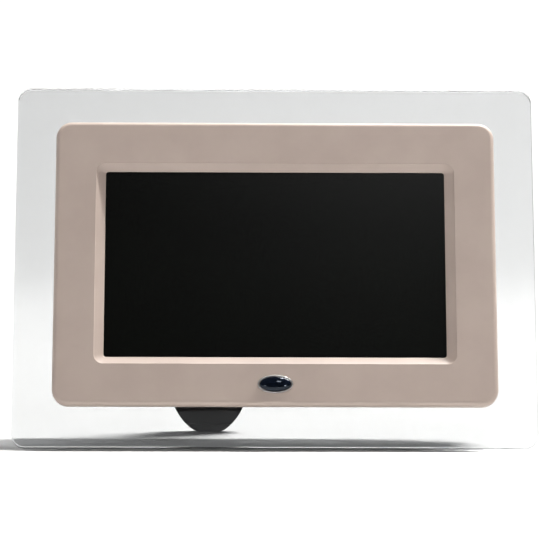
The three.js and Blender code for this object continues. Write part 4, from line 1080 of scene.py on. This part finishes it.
DC_BORE, DC_DEPTH = 2.1, 9.0
EARPHONE_BORE, EARPHONE_DEPTH = 1.8, 11.0
finish_piece(
    bored_block("power_inlet", "dc_inlet", DC_BORE, DC_DEPTH), epoxy, "frame", "chip_black", "dc_inlet"
)
pin_low, pin_high = extent("dc_inlet_pin")
pin_middle = (pin_low + pin_high) / 2
pin_radius = (pin_high[2] - pin_low[2]) / 2
inlet_pin = side_rod(pin_radius, pin_low[0], pin_high[0], pin_middle[1], pin_middle[2], 0.25)
inlet_pin.name = "power_inlet_pin"
finish_piece(inlet_pin, tin, "frame", "steel", "dc_inlet_pin")
earphone_block = bored_block("earphone_block", "earphone_socket", EARPHONE_BORE, EARPHONE_DEPTH)
finish_piece(earphone_block, epoxy, "frame", "chip_black", "earphone_socket")
COLLAR_WIDTH = 0.55
phones_low, phones_high = extent("earphone_socket")
phones_at = (phones_low + phones_high) / 2
collar_rings = [
    along_side(ellipse(EARPHONE_BORE + out, EARPHONE_BORE + out, phones_at[1], phones_at[2], 40),
    phones_high[0] + rise)
    for out, rise in (
        (COLLAR_WIDTH, 0.01), (COLLAR_WIDTH, 0.15), (COLLAR_WIDTH - 0.15, 0.3), (0.15, 0.3), (0.0, 0.15), (0.0, 0.01)
    )
]
finish_piece(skin("earphone_collar", collar_rings, closed=True), tin, "frame", "steel")

# ---- Power switch ----
# A tinned slide switch on the main board. Its black knob stands out through a slot in the right-hand wall,
# with three ribs for the fingertip.

dress(tin, "power_switch_body")
KNOB_EASE = 0.25
knob_outline = [side_outline(knob_low, knob_high, 0.4, inset) for inset in (0.0, KNOB_EASE)]
knob = skin(
    "switch_knob",
    [
        along_side(knob_outline[0], knob_low[0]),
        along_side(knob_outline[0], knob_high[0] - KNOB_EASE - 0.35),
        along_side(knob_outline[1], knob_high[0] - 0.35),
    ],
)
RIB_COUNT = 3
RIB_PITCH = 0.8
knob_middle = (knob_low + knob_high) / 2
rib_half = (knob_high[1] - knob_low[1]) / 2 - KNOB_EASE
rib_rings = [
    [
        Vector((0.35 * math.sin(turn), y, 0.28 * math.cos(turn)))
        for turn in [math.pi * step / 6 for step in range(7)]
    ]
    for y in (-rib_half, rib_half)
]
rib_form = skin("rib", rib_rings)
rib_start = (knob_high[0] - 0.37, knob_middle[1], knob_middle[2] - RIB_PITCH * (RIB_COUNT - 1) / 2)
ribs = lay_out("ribs", row_tree, rib_form, Count=RIB_COUNT, Start=rib_start, Step=(0.0, 0.0, RIB_PITCH))
bpy.data.objects.remove(rib_form)
key_black = moulded_plastic(
    "smooth_key_black", (0.012, 0.012, 0.013), (0.018, 0.018, 0.019), (0.3, 0.42), 0.3, 0.004, 0.01
)
finish_piece(
    joined("switch_knob", [knob, ribs]), key_black, "power_knob", "key_plastic", "power_switch_knob"
)

# ---- Keys ----
# Six moulded caps in a row, each held in by a flange behind the wall. A slightly hollowed face carries a
# plain raised sign: four arrows, a ring and two bars.

KEY_ROUND = 0.45
KEY_HOLLOW = 0.18
KEY_CORNER = 1.2
SIGN_RISE = 0.12
KEY_STEM_RADIUS = 1.5
FLANGE_THICK = 0.6


def arrow(turns, size=1.25):
    """A triangle that points to the right, turned by quarter turns."""
    points = [(size * 0.8, 0.0), (-size * 0.6, size * 0.8), (-size * 0.6, -size * 0.8)]
    for _ in range(turns):
        points = [(-z, x) for x, z in points]
    return [points]


KEY_SIGNS = (
    arrow(1),
    arrow(3),
    arrow(2),
    arrow(0),
    [ellipse(1.0, 1.0, steps=28)],
    [[(-1.4, z), (1.4, z), (1.4, z + 0.5), (-1.4, z + 0.5)] for z in (-0.9, 0.4)],
)
sign_paint = moulded_plastic(
    "pale_key_print", (0.42, 0.42, 0.42), (0.52, 0.52, 0.52), (0.4, 0.5), 0.3, 0.003
)
for number, sign in enumerate(KEY_SIGNS, 1):
    node = f"key_cap_{number}"
    low, high = extent(node)
    middle = (low + high) / 2
    cap_edges = edges_of(node, -KEY_FLANGE)
    flange_edges = edges_of(node)
    flange_front = inner_back - PART_ROOM - FLANGE_THICK
    flange_back = inner_back - PART_ROOM
    stem = ellipse(KEY_STEM_RADIUS, KEY_STEM_RADIUS, middle[0], middle[2], 4 * 7)
    corner = rounded_outline(cap_edges, KEY_CORNER, steps=6)
    rings = [
        at_depth(stem, low[1]),
        at_depth(stem, flange_front),
        at_depth(rounded_outline(flange_edges, KEY_CORNER + KEY_FLANGE, steps=6), flange_front),
        at_depth(rounded_outline(flange_edges, KEY_CORNER + KEY_FLANGE, steps=6), flange_back),
        at_depth(corner, flange_back),
    ]
    edge = [(high[1] - depth, inset) for inset, depth in reversed(quarter_round(KEY_ROUND, 5))]
    rings += [at_depth(rounded_outline(cap_edges, KEY_CORNER, inset, 6), y) for y, inset in edge]
    for inset, sink in ((0.6, 0.02), (0.9, 0.07), (1.3, 0.12), (1.8, 0.16), (2.3, KEY_HOLLOW)):
        rings.append(at_depth(rounded_outline(cap_edges, KEY_CORNER, inset, 6), high[1] - sink))
    cap = skin(f"key_{number}", rings, smooth=40)
    face = high[1] - KEY_HOLLOW
    marks = []
    for outline in sign:
        placed = [(middle[0] - x, middle[2] + z) for x, z in outline]
        marks.append(skin("mark", [at_depth(placed, face - 0.1), at_depth(placed, face + SIGN_RISE)]))
    finish_piece(cap, key_black, f"key_{number}", "key_plastic", node)
    finish_piece(joined(f"key_sign_{number}", marks), sign_paint, f"key_{number}", "white_plastic")

# ---- Speakers and leads ----
# Two oval speakers with dark paper cones behind the slots. Thin black leads join them and the receiver to
# the board, and flat film cables join the panel and the key board.


def paper_cone():
    """Pressed black paper pulp: fibrous, matt, slightly uneven."""
    material, shader, node, feed = new_finish("black_paper_cone")
    fibres = speckle(node, 0.5, 5, 0.7)
    feed(tones(node, fibres, (0.012, 0.012, 0.012), (0.03, 0.03, 0.029)), "Base Color")
    feed(remap(node, speckle(node, 2.0), 0.8, 0.95), "Roughness")
    feed(dents(node, [(fibres, 0.08)]), "Normal")
    return material


def film_cable(name, film, track, pitch):
    """Polyester film with flat copper tracks side by side under it."""
    material, shader, node, feed = new_finish(name)
    place = node("ShaderNodeTexCoord").outputs["Object"]
    across = node("ShaderNodeSeparateXYZ", {"Vector": place}).outputs["X"]
    turns = node("ShaderNodeMath", {0: across, 1: math.tau / (pitch * MM)},
    operation="MULTIPLY").outputs["Value"]
    bands = node("ShaderNodeMath", {0: turns}, operation="SINE").outputs["Value"]
    lines = remap(node, bands, 0.0, 1.0, -0.2, 0.2)
    feed(tones(node, lines, film, track, 0.0, 1.0), "Base Color")
    feed(remap(node, speckle(node, 1.5), 0.25, 0.4), "Roughness")
    feed(dents(node, [(lines, 0.03)]), "Normal")
    return material


def soft_rubber(name, shade, grain_depth):
    """Black rubber with a dull bloom and fine pitting."""
    material, shader, node, feed = new_finish(name)
    feed(tones(node, speckle(node, 3.0, 4), shade, tuple(1.6 * part for part in shade)), "Base Color")
    pits = speckle(node, 0.3, 4)
    feed(remap(node, pits, 0.68, 0.9), "Roughness")
    feed(dents(node, [(pits, grain_depth)]), "Normal")
    return material


dress(paper_cone(), "speaker_left", "speaker_right")
dress(film_cable("amber_film_cable", (0.45, 0.17, 0.03), (0.6, 0.3, 0.1), 0.8), "lcd_flex_cable")
dress(film_cable("white_film_cable", (0.7, 0.7, 0.68), (0.45, 0.46, 0.48), 1.0), "key_board_cable")
dress(soft_rubber("black_lead_sleeve", (0.008, 0.008, 0.008), 0.004),
"speaker_lead_left", "speaker_lead_right", "receiver_lead")

# ---- Stand turntable ----
# A black moulded disc that turns a quarter turn in the rear wall, for upright or sideways standing. Two ears
# on its face carry the steel pin that the leg folds on, and a steel plate inside holds the disc in.

TURNTABLE_GROOVE = 3.2
hub_low, hub_high = extent("stand_turntable")
turntable_radius = (hub_high[0] - hub_low[0]) / 2
disc_front = housing_back + PART_ROOM
hinge = leaned.inverted() @ Vector(joints["leg_fold"]["pos_m"])
HINGE_OFFSET = 3.3
disc_back = hinge[1] - HINGE_OFFSET
groove_at = turntable_radius - TURNTABLE_GROOVE
disc_profile = [
    (spigot_radius - 0.4, hub_low[1]),
    (spigot_radius, hub_low[1] + 0.4),
    (spigot_radius, disc_front),
    (turntable_radius - 0.25, disc_front),
    (turntable_radius, disc_front + 0.25),
    *[(turntable_radius - inset, disc_back - depth) for inset, depth in reversed(quarter_round(0.9, 6))],
    (turntable_radius - 0.9 - FLAT_BAND, disc_back),
    (groove_at + 0.35 + FLAT_BAND, disc_back),
    (groove_at + 0.35, disc_back),
    (groove_at + 0.15, disc_back - 0.3),
    (groove_at - 0.15, disc_back - 0.3),
    (groove_at - 0.35, disc_back),
    (groove_at - 0.35 - FLAT_BAND, disc_back),
    (0.5, disc_back),
]
turntable = skin(
    "turning_disc", [
        at_depth(ellipse(radius, radius, hub[0], hub[2], 128), y) for radius, y in disc_profile
    ]
)


def shrunk(outline, by):
    """An outline drawn in by a distance, square to its own edges."""
    points = []
    count = len(outline)
    for i, (x, z) in enumerate(outline):
        (x0, z0), (x1, z1) = outline[i - 1], outline[(i + 1) % count]
        before = Vector((x - x0, z - z0)).normalized()
        after = Vector((x1 - x, z1 - z)).normalized()
        inward = Vector((-before[1] - after[1], before[0] + after[0]))
        scale = by / max(0.5 * inward.length_squared, 0.3)
        points.append((x + inward[0] * scale, z + inward[1] * scale))
    return points


EAR_RADIUS = 3.2
EAR_THICK = 3.0
EAR_GAP = 24.4
EAR_FOOT_FLARE = 1.0
EAR_EASE = 0.35
arc = [math.pi / 2 - math.pi * step / 20 for step in range(21)]
ear_outline = [
    (hinge[1] + EAR_RADIUS * math.cos(turn), hinge[2] + EAR_RADIUS * math.sin(turn)) for turn in arc
]
foot_line = []
for step in range(6):
    turn = math.pi / 2 * step / 5
    foot_line.append((EAR_FOOT_FLARE * (1 - math.sin(turn)), EAR_FOOT_FLARE * (1 - math.cos(turn))))
ear_outline += [(disc_back + rise, hinge[2] - EAR_RADIUS - out) for rise, out in foot_line]
ear_outline += [(disc_back - 0.6, hinge[2] - EAR_RADIUS - EAR_FOOT_FLARE)]
ear_outline += [(disc_back - 0.6, hinge[2] + EAR_RADIUS + EAR_FOOT_FLARE)]
ear_outline += [(disc_back + rise, hinge[2] + EAR_RADIUS + out) for rise, out in reversed(foot_line)]
ear_outline.reverse()
ears = []
for side in (-1, 1):
    near = hub[0] + side * EAR_GAP / 2
    stations = [(0.0, EAR_EASE), (EAR_EASE, 0.0), (EAR_THICK - EAR_EASE, 0.0), (EAR_THICK, EAR_EASE)]
    ears.append(
        skin("ear", [along_side(shrunk(ear_outline, ease), near + side * at) for at, ease in stations])
    )
combine(turntable, ears, "UNION")
PIN_BORE = 1.4
combine(turntable, [side_rod(PIN_BORE, hub[0] - EAR_GAP, hub[0] + EAR_GAP, hinge[1], hinge[2])])
stand_black = moulded_plastic(
    "stand_black", (0.003, 0.003, 0.0032), (0.005, 0.005, 0.0052), (0.36, 0.5), 0.35, 0.012, 0.02, 0.1
)
finish_piece(turntable, stand_black, "turntable", "housing_plastic", "stand_turntable")
PIN_RADIUS = 1.1
pin_reach = EAR_GAP / 2 + EAR_THICK
hinge_pin = side_rod(PIN_RADIUS, hub[0] - pin_reach, hub[0] + pin_reach, hinge[1], hinge[2], 0.2)
hinge_pin.name = "hinge_pin"
finish_piece(hinge_pin, zinc, "turntable", "steel", "leg_hinge_pin")

# ---- Stand leg and its pad ----
# A tongue-shaped black moulding, hollowed on its inner face, that hangs from the pin and props the frame up.
# Its heel stops against the turntable, and a rubber pad is pressed onto its rounded tip.

LEG_THICK = 5.0
LEG_SKIN = 2.0
LEG_TOP_HALF = 17.0
LEG_TIP_HALF = 19.5
LEG_TIP_LENGTH = 30.0
LEG_SHOULDER = -4.2
LEG_KNUCKLE_TOP = 4.6
LEG_FRONT_EASE = 0.5
LEG_BACK_ROUND = 1.3
PAD_LENGTH = 5.0
leg_open = Matrix.Rotation(math.radians(joints["leg_fold"]["range_deg"][1]), 4, "X")
leg_place = leaned @ Matrix.Translation(hinge) @ leg_open
leg_front = extent("stand_leg", leg_place)[0][1]
leg_back = leg_front + LEG_THICK
leg_up = (leg_place.to_3x3() @ Vector((0.0, 0.0, 1.0))).normalized()
hinge_height = joints["leg_fold"]["pos_m"][2] / MM
leg_length = hinge_height / leg_up[2] + 0.9
knuckle_half = EAR_GAP / 2 - PART_ROOM
tip_centre = -leg_length + LEG_TIP_LENGTH
pad_top = -leg_length + PAD_LENGTH


def leg_outline():
    """Half of the tongue from its knuckle down to the middle of the tip, then its mirror image."""
    half = [(knuckle_half, LEG_KNUCKLE_TOP), (knuckle_half, LEG_SHOULDER + 0.01)]
    for step in range(7):
        turn = math.pi / 2 * (1 - step / 6)
        x = LEG_TOP_HALF - 2 + 2 * math.cos(turn)
        half.append((x, LEG_SHOULDER - 2 + 2 * math.sin(turn)))
    for step in range(25):
        turn = math.pi / 2 * step / 24
        half.append((LEG_TIP_HALF * math.cos(turn), tip_centre - LEG_TIP_LENGTH * math.sin(turn)))
    mirrored = [(-x, z) for x, z in reversed(half[:-1])]
    return [*half, *mirrored][::-1]


def leg_blank(name):
    outline = leg_outline()
    rings = [
        at_depth(shrunk(outline, inset), leg_front + depth)
        for inset, depth in quarter_round(LEG_FRONT_EASE, 3)
    ]
    back = [
        at_depth(shrunk(outline, inset), leg_back - depth)
        for inset, depth in quarter_round(LEG_BACK_ROUND, 6)
    ]
    flat = at_depth(shrunk(outline, LEG_BACK_ROUND + FLAT_BAND), leg_back)
    front_flat = at_depth(shrunk(outline, LEG_FRONT_EASE + FLAT_BAND), leg_front)
    return skin(name, [front_flat, *rings, *reversed(back), flat])


def brick(x0, x1, y0, y1, z0, z1, place=None):
    """A plain block, which may be drawn in another place than the leg's own."""
    outline = [(x0, z0), (x1, z0), (x1, z1), (x0, z1)]
    made = skin("brick", [at_depth(outline, y0), at_depth(outline, y1)])
    if place is not None:
        made.data.transform(leg_place.inverted() @ place)
    return made


def pad_tongue(room):
    """The tongue on the leg's tip that the pad is pushed over."""
    return brick(-8 - room, 8 + room, -1 - room, 1 + room, pad_top - 2.6 - room, pad_top + 3)


POCKETS = ((-14.2, -6.2), (-5.0, 5.0), (6.2, 14.2))
POCKET_CORNER = 1.5
POCKET_DRAFT = 0.35
leg = leg_blank("tongue_leg")
combine(leg, [brick(-60, 60, -30, 30, pad_top - 60, pad_top)])
knuckle = side_rod(-leg_front, -knuckle_half, knuckle_half, 0.0, 0.0)
combine(leg, [knuckle, pad_tongue(0.0)], "UNION")
pocket_cuts = []
for x0, x1 in POCKETS:
    edges = (x0, x1, -leg_length + 26, -9.0)
    mouth = rounded_outline(edges, POCKET_CORNER, steps=5)
    floor = rounded_outline(edges, POCKET_CORNER, POCKET_DRAFT, 5)
    rings = [
        at_depth(mouth, leg_front - PAST), at_depth(mouth, leg_front), at_depth(floor, leg_back - LEG_SKIN)
    ]
    pocket_cuts.append(skin("pocket", rings))
# Everything of the leg that would pass through the disc when it is open: the heel that is left stops it.
STOP_HALF_WIDE, STOP_DEEP, STOP_HALF_TALL = 40, 60, 30
heel_stop = brick(
    hub[0] - STOP_HALF_WIDE, hub[0] + STOP_HALF_WIDE, disc_back - STOP_DEEP, disc_back + PART_ROOM,
    hinge[2] - STOP_HALF_TALL, hinge[2] + STOP_HALF_TALL, leaned,
)
bore = side_rod(PIN_BORE, -EAR_GAP, EAR_GAP, 0.0, 0.0)
combine(leg, [*pocket_cuts, heel_stop, bore])
finish_piece(leg, stand_black, "leg", "housing_plastic", "stand_leg", place=leg_place)

pad = leg_blank("tip_pad")
FAR = 200  # beyond the whole part
floor_cut = brick(-FAR, FAR, -FAR, FAR, -FAR, 0.0, Matrix.Scale(MM, 4))
above = brick(-60, 60, -30, 30, pad_top - PART_ROOM, pad_top + FAR)
combine(pad, [above, pad_tongue(PART_ROOM), floor_cut])
pad_rubber = soft_rubber("black_pad_rubber", (0.009, 0.009, 0.009), 0.02)
finish_piece(pad, pad_rubber, "leg", "black_rubber", "leg_pad", place=leg_place)

# ---- Camera, table and light ----
# A long lens a little above the table looks at the frame from the front. The table and the backdrop are one
# pale sweep under a strip light overhead and behind, so the table's own glow lights the frame's face.

camera_data = bpy.data.cameras.new("camera")
camera = bpy.data.objects.new("camera", camera_data)
bpy.context.scene.collection.objects.link(camera)
camera_data.sensor_width = 36.0
CAMERA_DISTANCE = 1.25
FIELD_WIDTH_AT_FRAME = 0.25126
camera_data.lens = camera_data.sensor_width * CAMERA_DISTANCE / FIELD_WIDTH_AT_FRAME
CAMERA_AZIMUTH = math.radians(-0.88)
CAMERA_ELEVATION = math.radians(3.355)
CAMERA_ROLL = math.radians(0.237)
back = Vector((
    math.sin(CAMERA_AZIMUTH) * math.cos(CAMERA_ELEVATION),
    -math.cos(CAMERA_AZIMUTH) * math.cos(CAMERA_ELEVATION),
    math.sin(CAMERA_ELEVATION),
))
level_right = Vector((math.cos(CAMERA_AZIMUTH), math.sin(CAMERA_AZIMUTH), 0.0))
level_up = back.cross(level_right)
right = level_right * math.cos(CAMERA_ROLL) + level_up * math.sin(CAMERA_ROLL)
up = level_up * math.cos(CAMERA_ROLL) - level_right * math.sin(CAMERA_ROLL)
AIM_LEFT, AIM_DOWN = 0.00007, 0.00438
eye = plate_front_centre + back * CAMERA_DISTANCE - right * AIM_LEFT - up * AIM_DOWN
camera.matrix_world = Matrix.Translation(eye) @ Matrix((right, up, back)).transposed().to_4x4()
camera_data.clip_start = 0.05
camera_data.clip_end = 20.0
bpy.context.scene.camera = camera


def sweep_backdrop():
    """A floor that curves up into a wall behind, wide enough for any view."""
    mesh = bmesh.new()
    reach, front, wall, bend, height = 5.5, -5.5, 2.2, 0.9, 3.0
    line = [(front, 0.0)]
    steps = 16
    for step in range(steps + 1):
        angle = math.pi / 2 * step / steps
        line.append((wall - bend + bend * math.sin(angle), bend - bend * math.cos(angle)))
    line.append((wall, height))
    rows = [[mesh.verts.new((x, y, z)) for y, z in line] for x in (-reach, reach)]
    for near, far in zip(range(len(line) - 1), range(1, len(line))):
        mesh.faces.new((rows[0][near], rows[1][near], rows[1][far], rows[0][far]))
    data = bpy.data.meshes.new("backdrop")
    mesh.to_mesh(data)
    mesh.free()
    data.shade_smooth()
    backdrop = bpy.data.objects.new("backdrop", data)
    bpy.context.scene.collection.objects.link(backdrop)
    return backdrop


backdrop = sweep_backdrop()
backdrop_paint = bpy.data.materials.new("pale_backdrop")
backdrop_paint.use_nodes = True
backdrop_surface = backdrop_paint.node_tree.nodes["Principled BSDF"]
backdrop_surface.inputs["Base Color"].default_value = (0.62, 0.62, 0.62, 1.0)
backdrop_surface.inputs["Roughness"].default_value = 0.95
backdrop_surface.inputs["Specular IOR Level"].default_value = 0.1
backdrop.data.materials.append(backdrop_paint)


def soft_light(name, place, aim, width, height, watts, colour=(1.0, 1.0, 1.0), spread=180.0):
    """A rectangular studio light at place, turned to aim, with its width level and along the frame."""
    data = bpy.data.lights.new(name, "AREA")
    data.shape = "RECTANGLE"
    data.size = width
    data.size_y = height
    data.energy = watts
    data.color = colour
    data.spread = math.radians(spread)
    light = bpy.data.objects.new(name, data)
    bpy.context.scene.collection.objects.link(light)
    outward = (Vector(place) - Vector(aim)).normalized()
    across = (sideways - outward * sideways.dot(outward)).normalized()
    turn = Matrix((across, outward.cross(across), outward)).transposed().to_4x4()
    light.matrix_world = Matrix.Translation(place) @ turn
    return light


soft_light("overhead_strip", (0.62, 0.34, 1.72), (0.0, 0.0, 0.1), 0.9, 0.07, 81.0, (1.0, 0.985, 0.965))
soft_light("wall_wash", (0.7, 0.9, 1.9), (0.25, 2.1, 0.5), 1.6, 0.4, 38.0)
soft_light("near_floor_wash", (0.0, -3.3, 1.8), (0.0, -3.3, 0.0), 3.4, 4.0, 85.0, spread=60.0)
for side in (-1, 1):
    soft_light(
        "side_floor_wash", (side * 3.6, -1.8, 1.8), (side * 3.6, -1.8, 0.0), 4.1, 7.6, 180.0, spread=60.0
    )
soft_light("left_card", (-1.5, -0.15, 0.4), (0.0, 0.0, 0.1), 0.7, 0.7, 3.3)
soft_light("screen_glow", (0.2, -1.36, 1.28), (0.0, 0.0, 0.1), 0.2, 0.2, 2.0)
soft_light("left_lamp", (-0.6, -1.6, 0.26), (0.0, 0.0, 0.05), 0.14, 0.14, 1.0)
soft_light("right_lamp", (0.6, -1.6, 0.26), (0.0, 0.0, 0.05), 0.14, 0.14, 2.0)


def studio_air():
    """White where it is seen, straight or through clear pieces, and dim in what it adds to the light."""
    world = bpy.data.worlds.new("studio")
    world.use_nodes = True
    tree = world.node_tree
    rays = tree.nodes.new("ShaderNodeLightPath")
    seen = tree.nodes.new("ShaderNodeMath")
    seen.operation = "MAXIMUM"
    tree.links.new(rays.outputs["Is Camera Ray"], seen.inputs[0])
    tree.links.new(rays.outputs["Is Transmission Ray"], seen.inputs[1])
    strength = tree.nodes.new("ShaderNodeMapRange")
    strength.inputs["To Min"].default_value = 0.05
    strength.inputs["To Max"].default_value = 1.0
    tree.links.new(seen.outputs["Value"], strength.inputs["Value"])
    background = tree.nodes["Background"]
    background.inputs["Color"].default_value = (1.0, 1.0, 1.0, 1.0)
    tree.links.new(strength.outputs["Result"], background.inputs["Strength"])
    return world


bpy.context.scene.world = studio_air()
bpy.context.scene.view_settings.view_transform = "Standard"
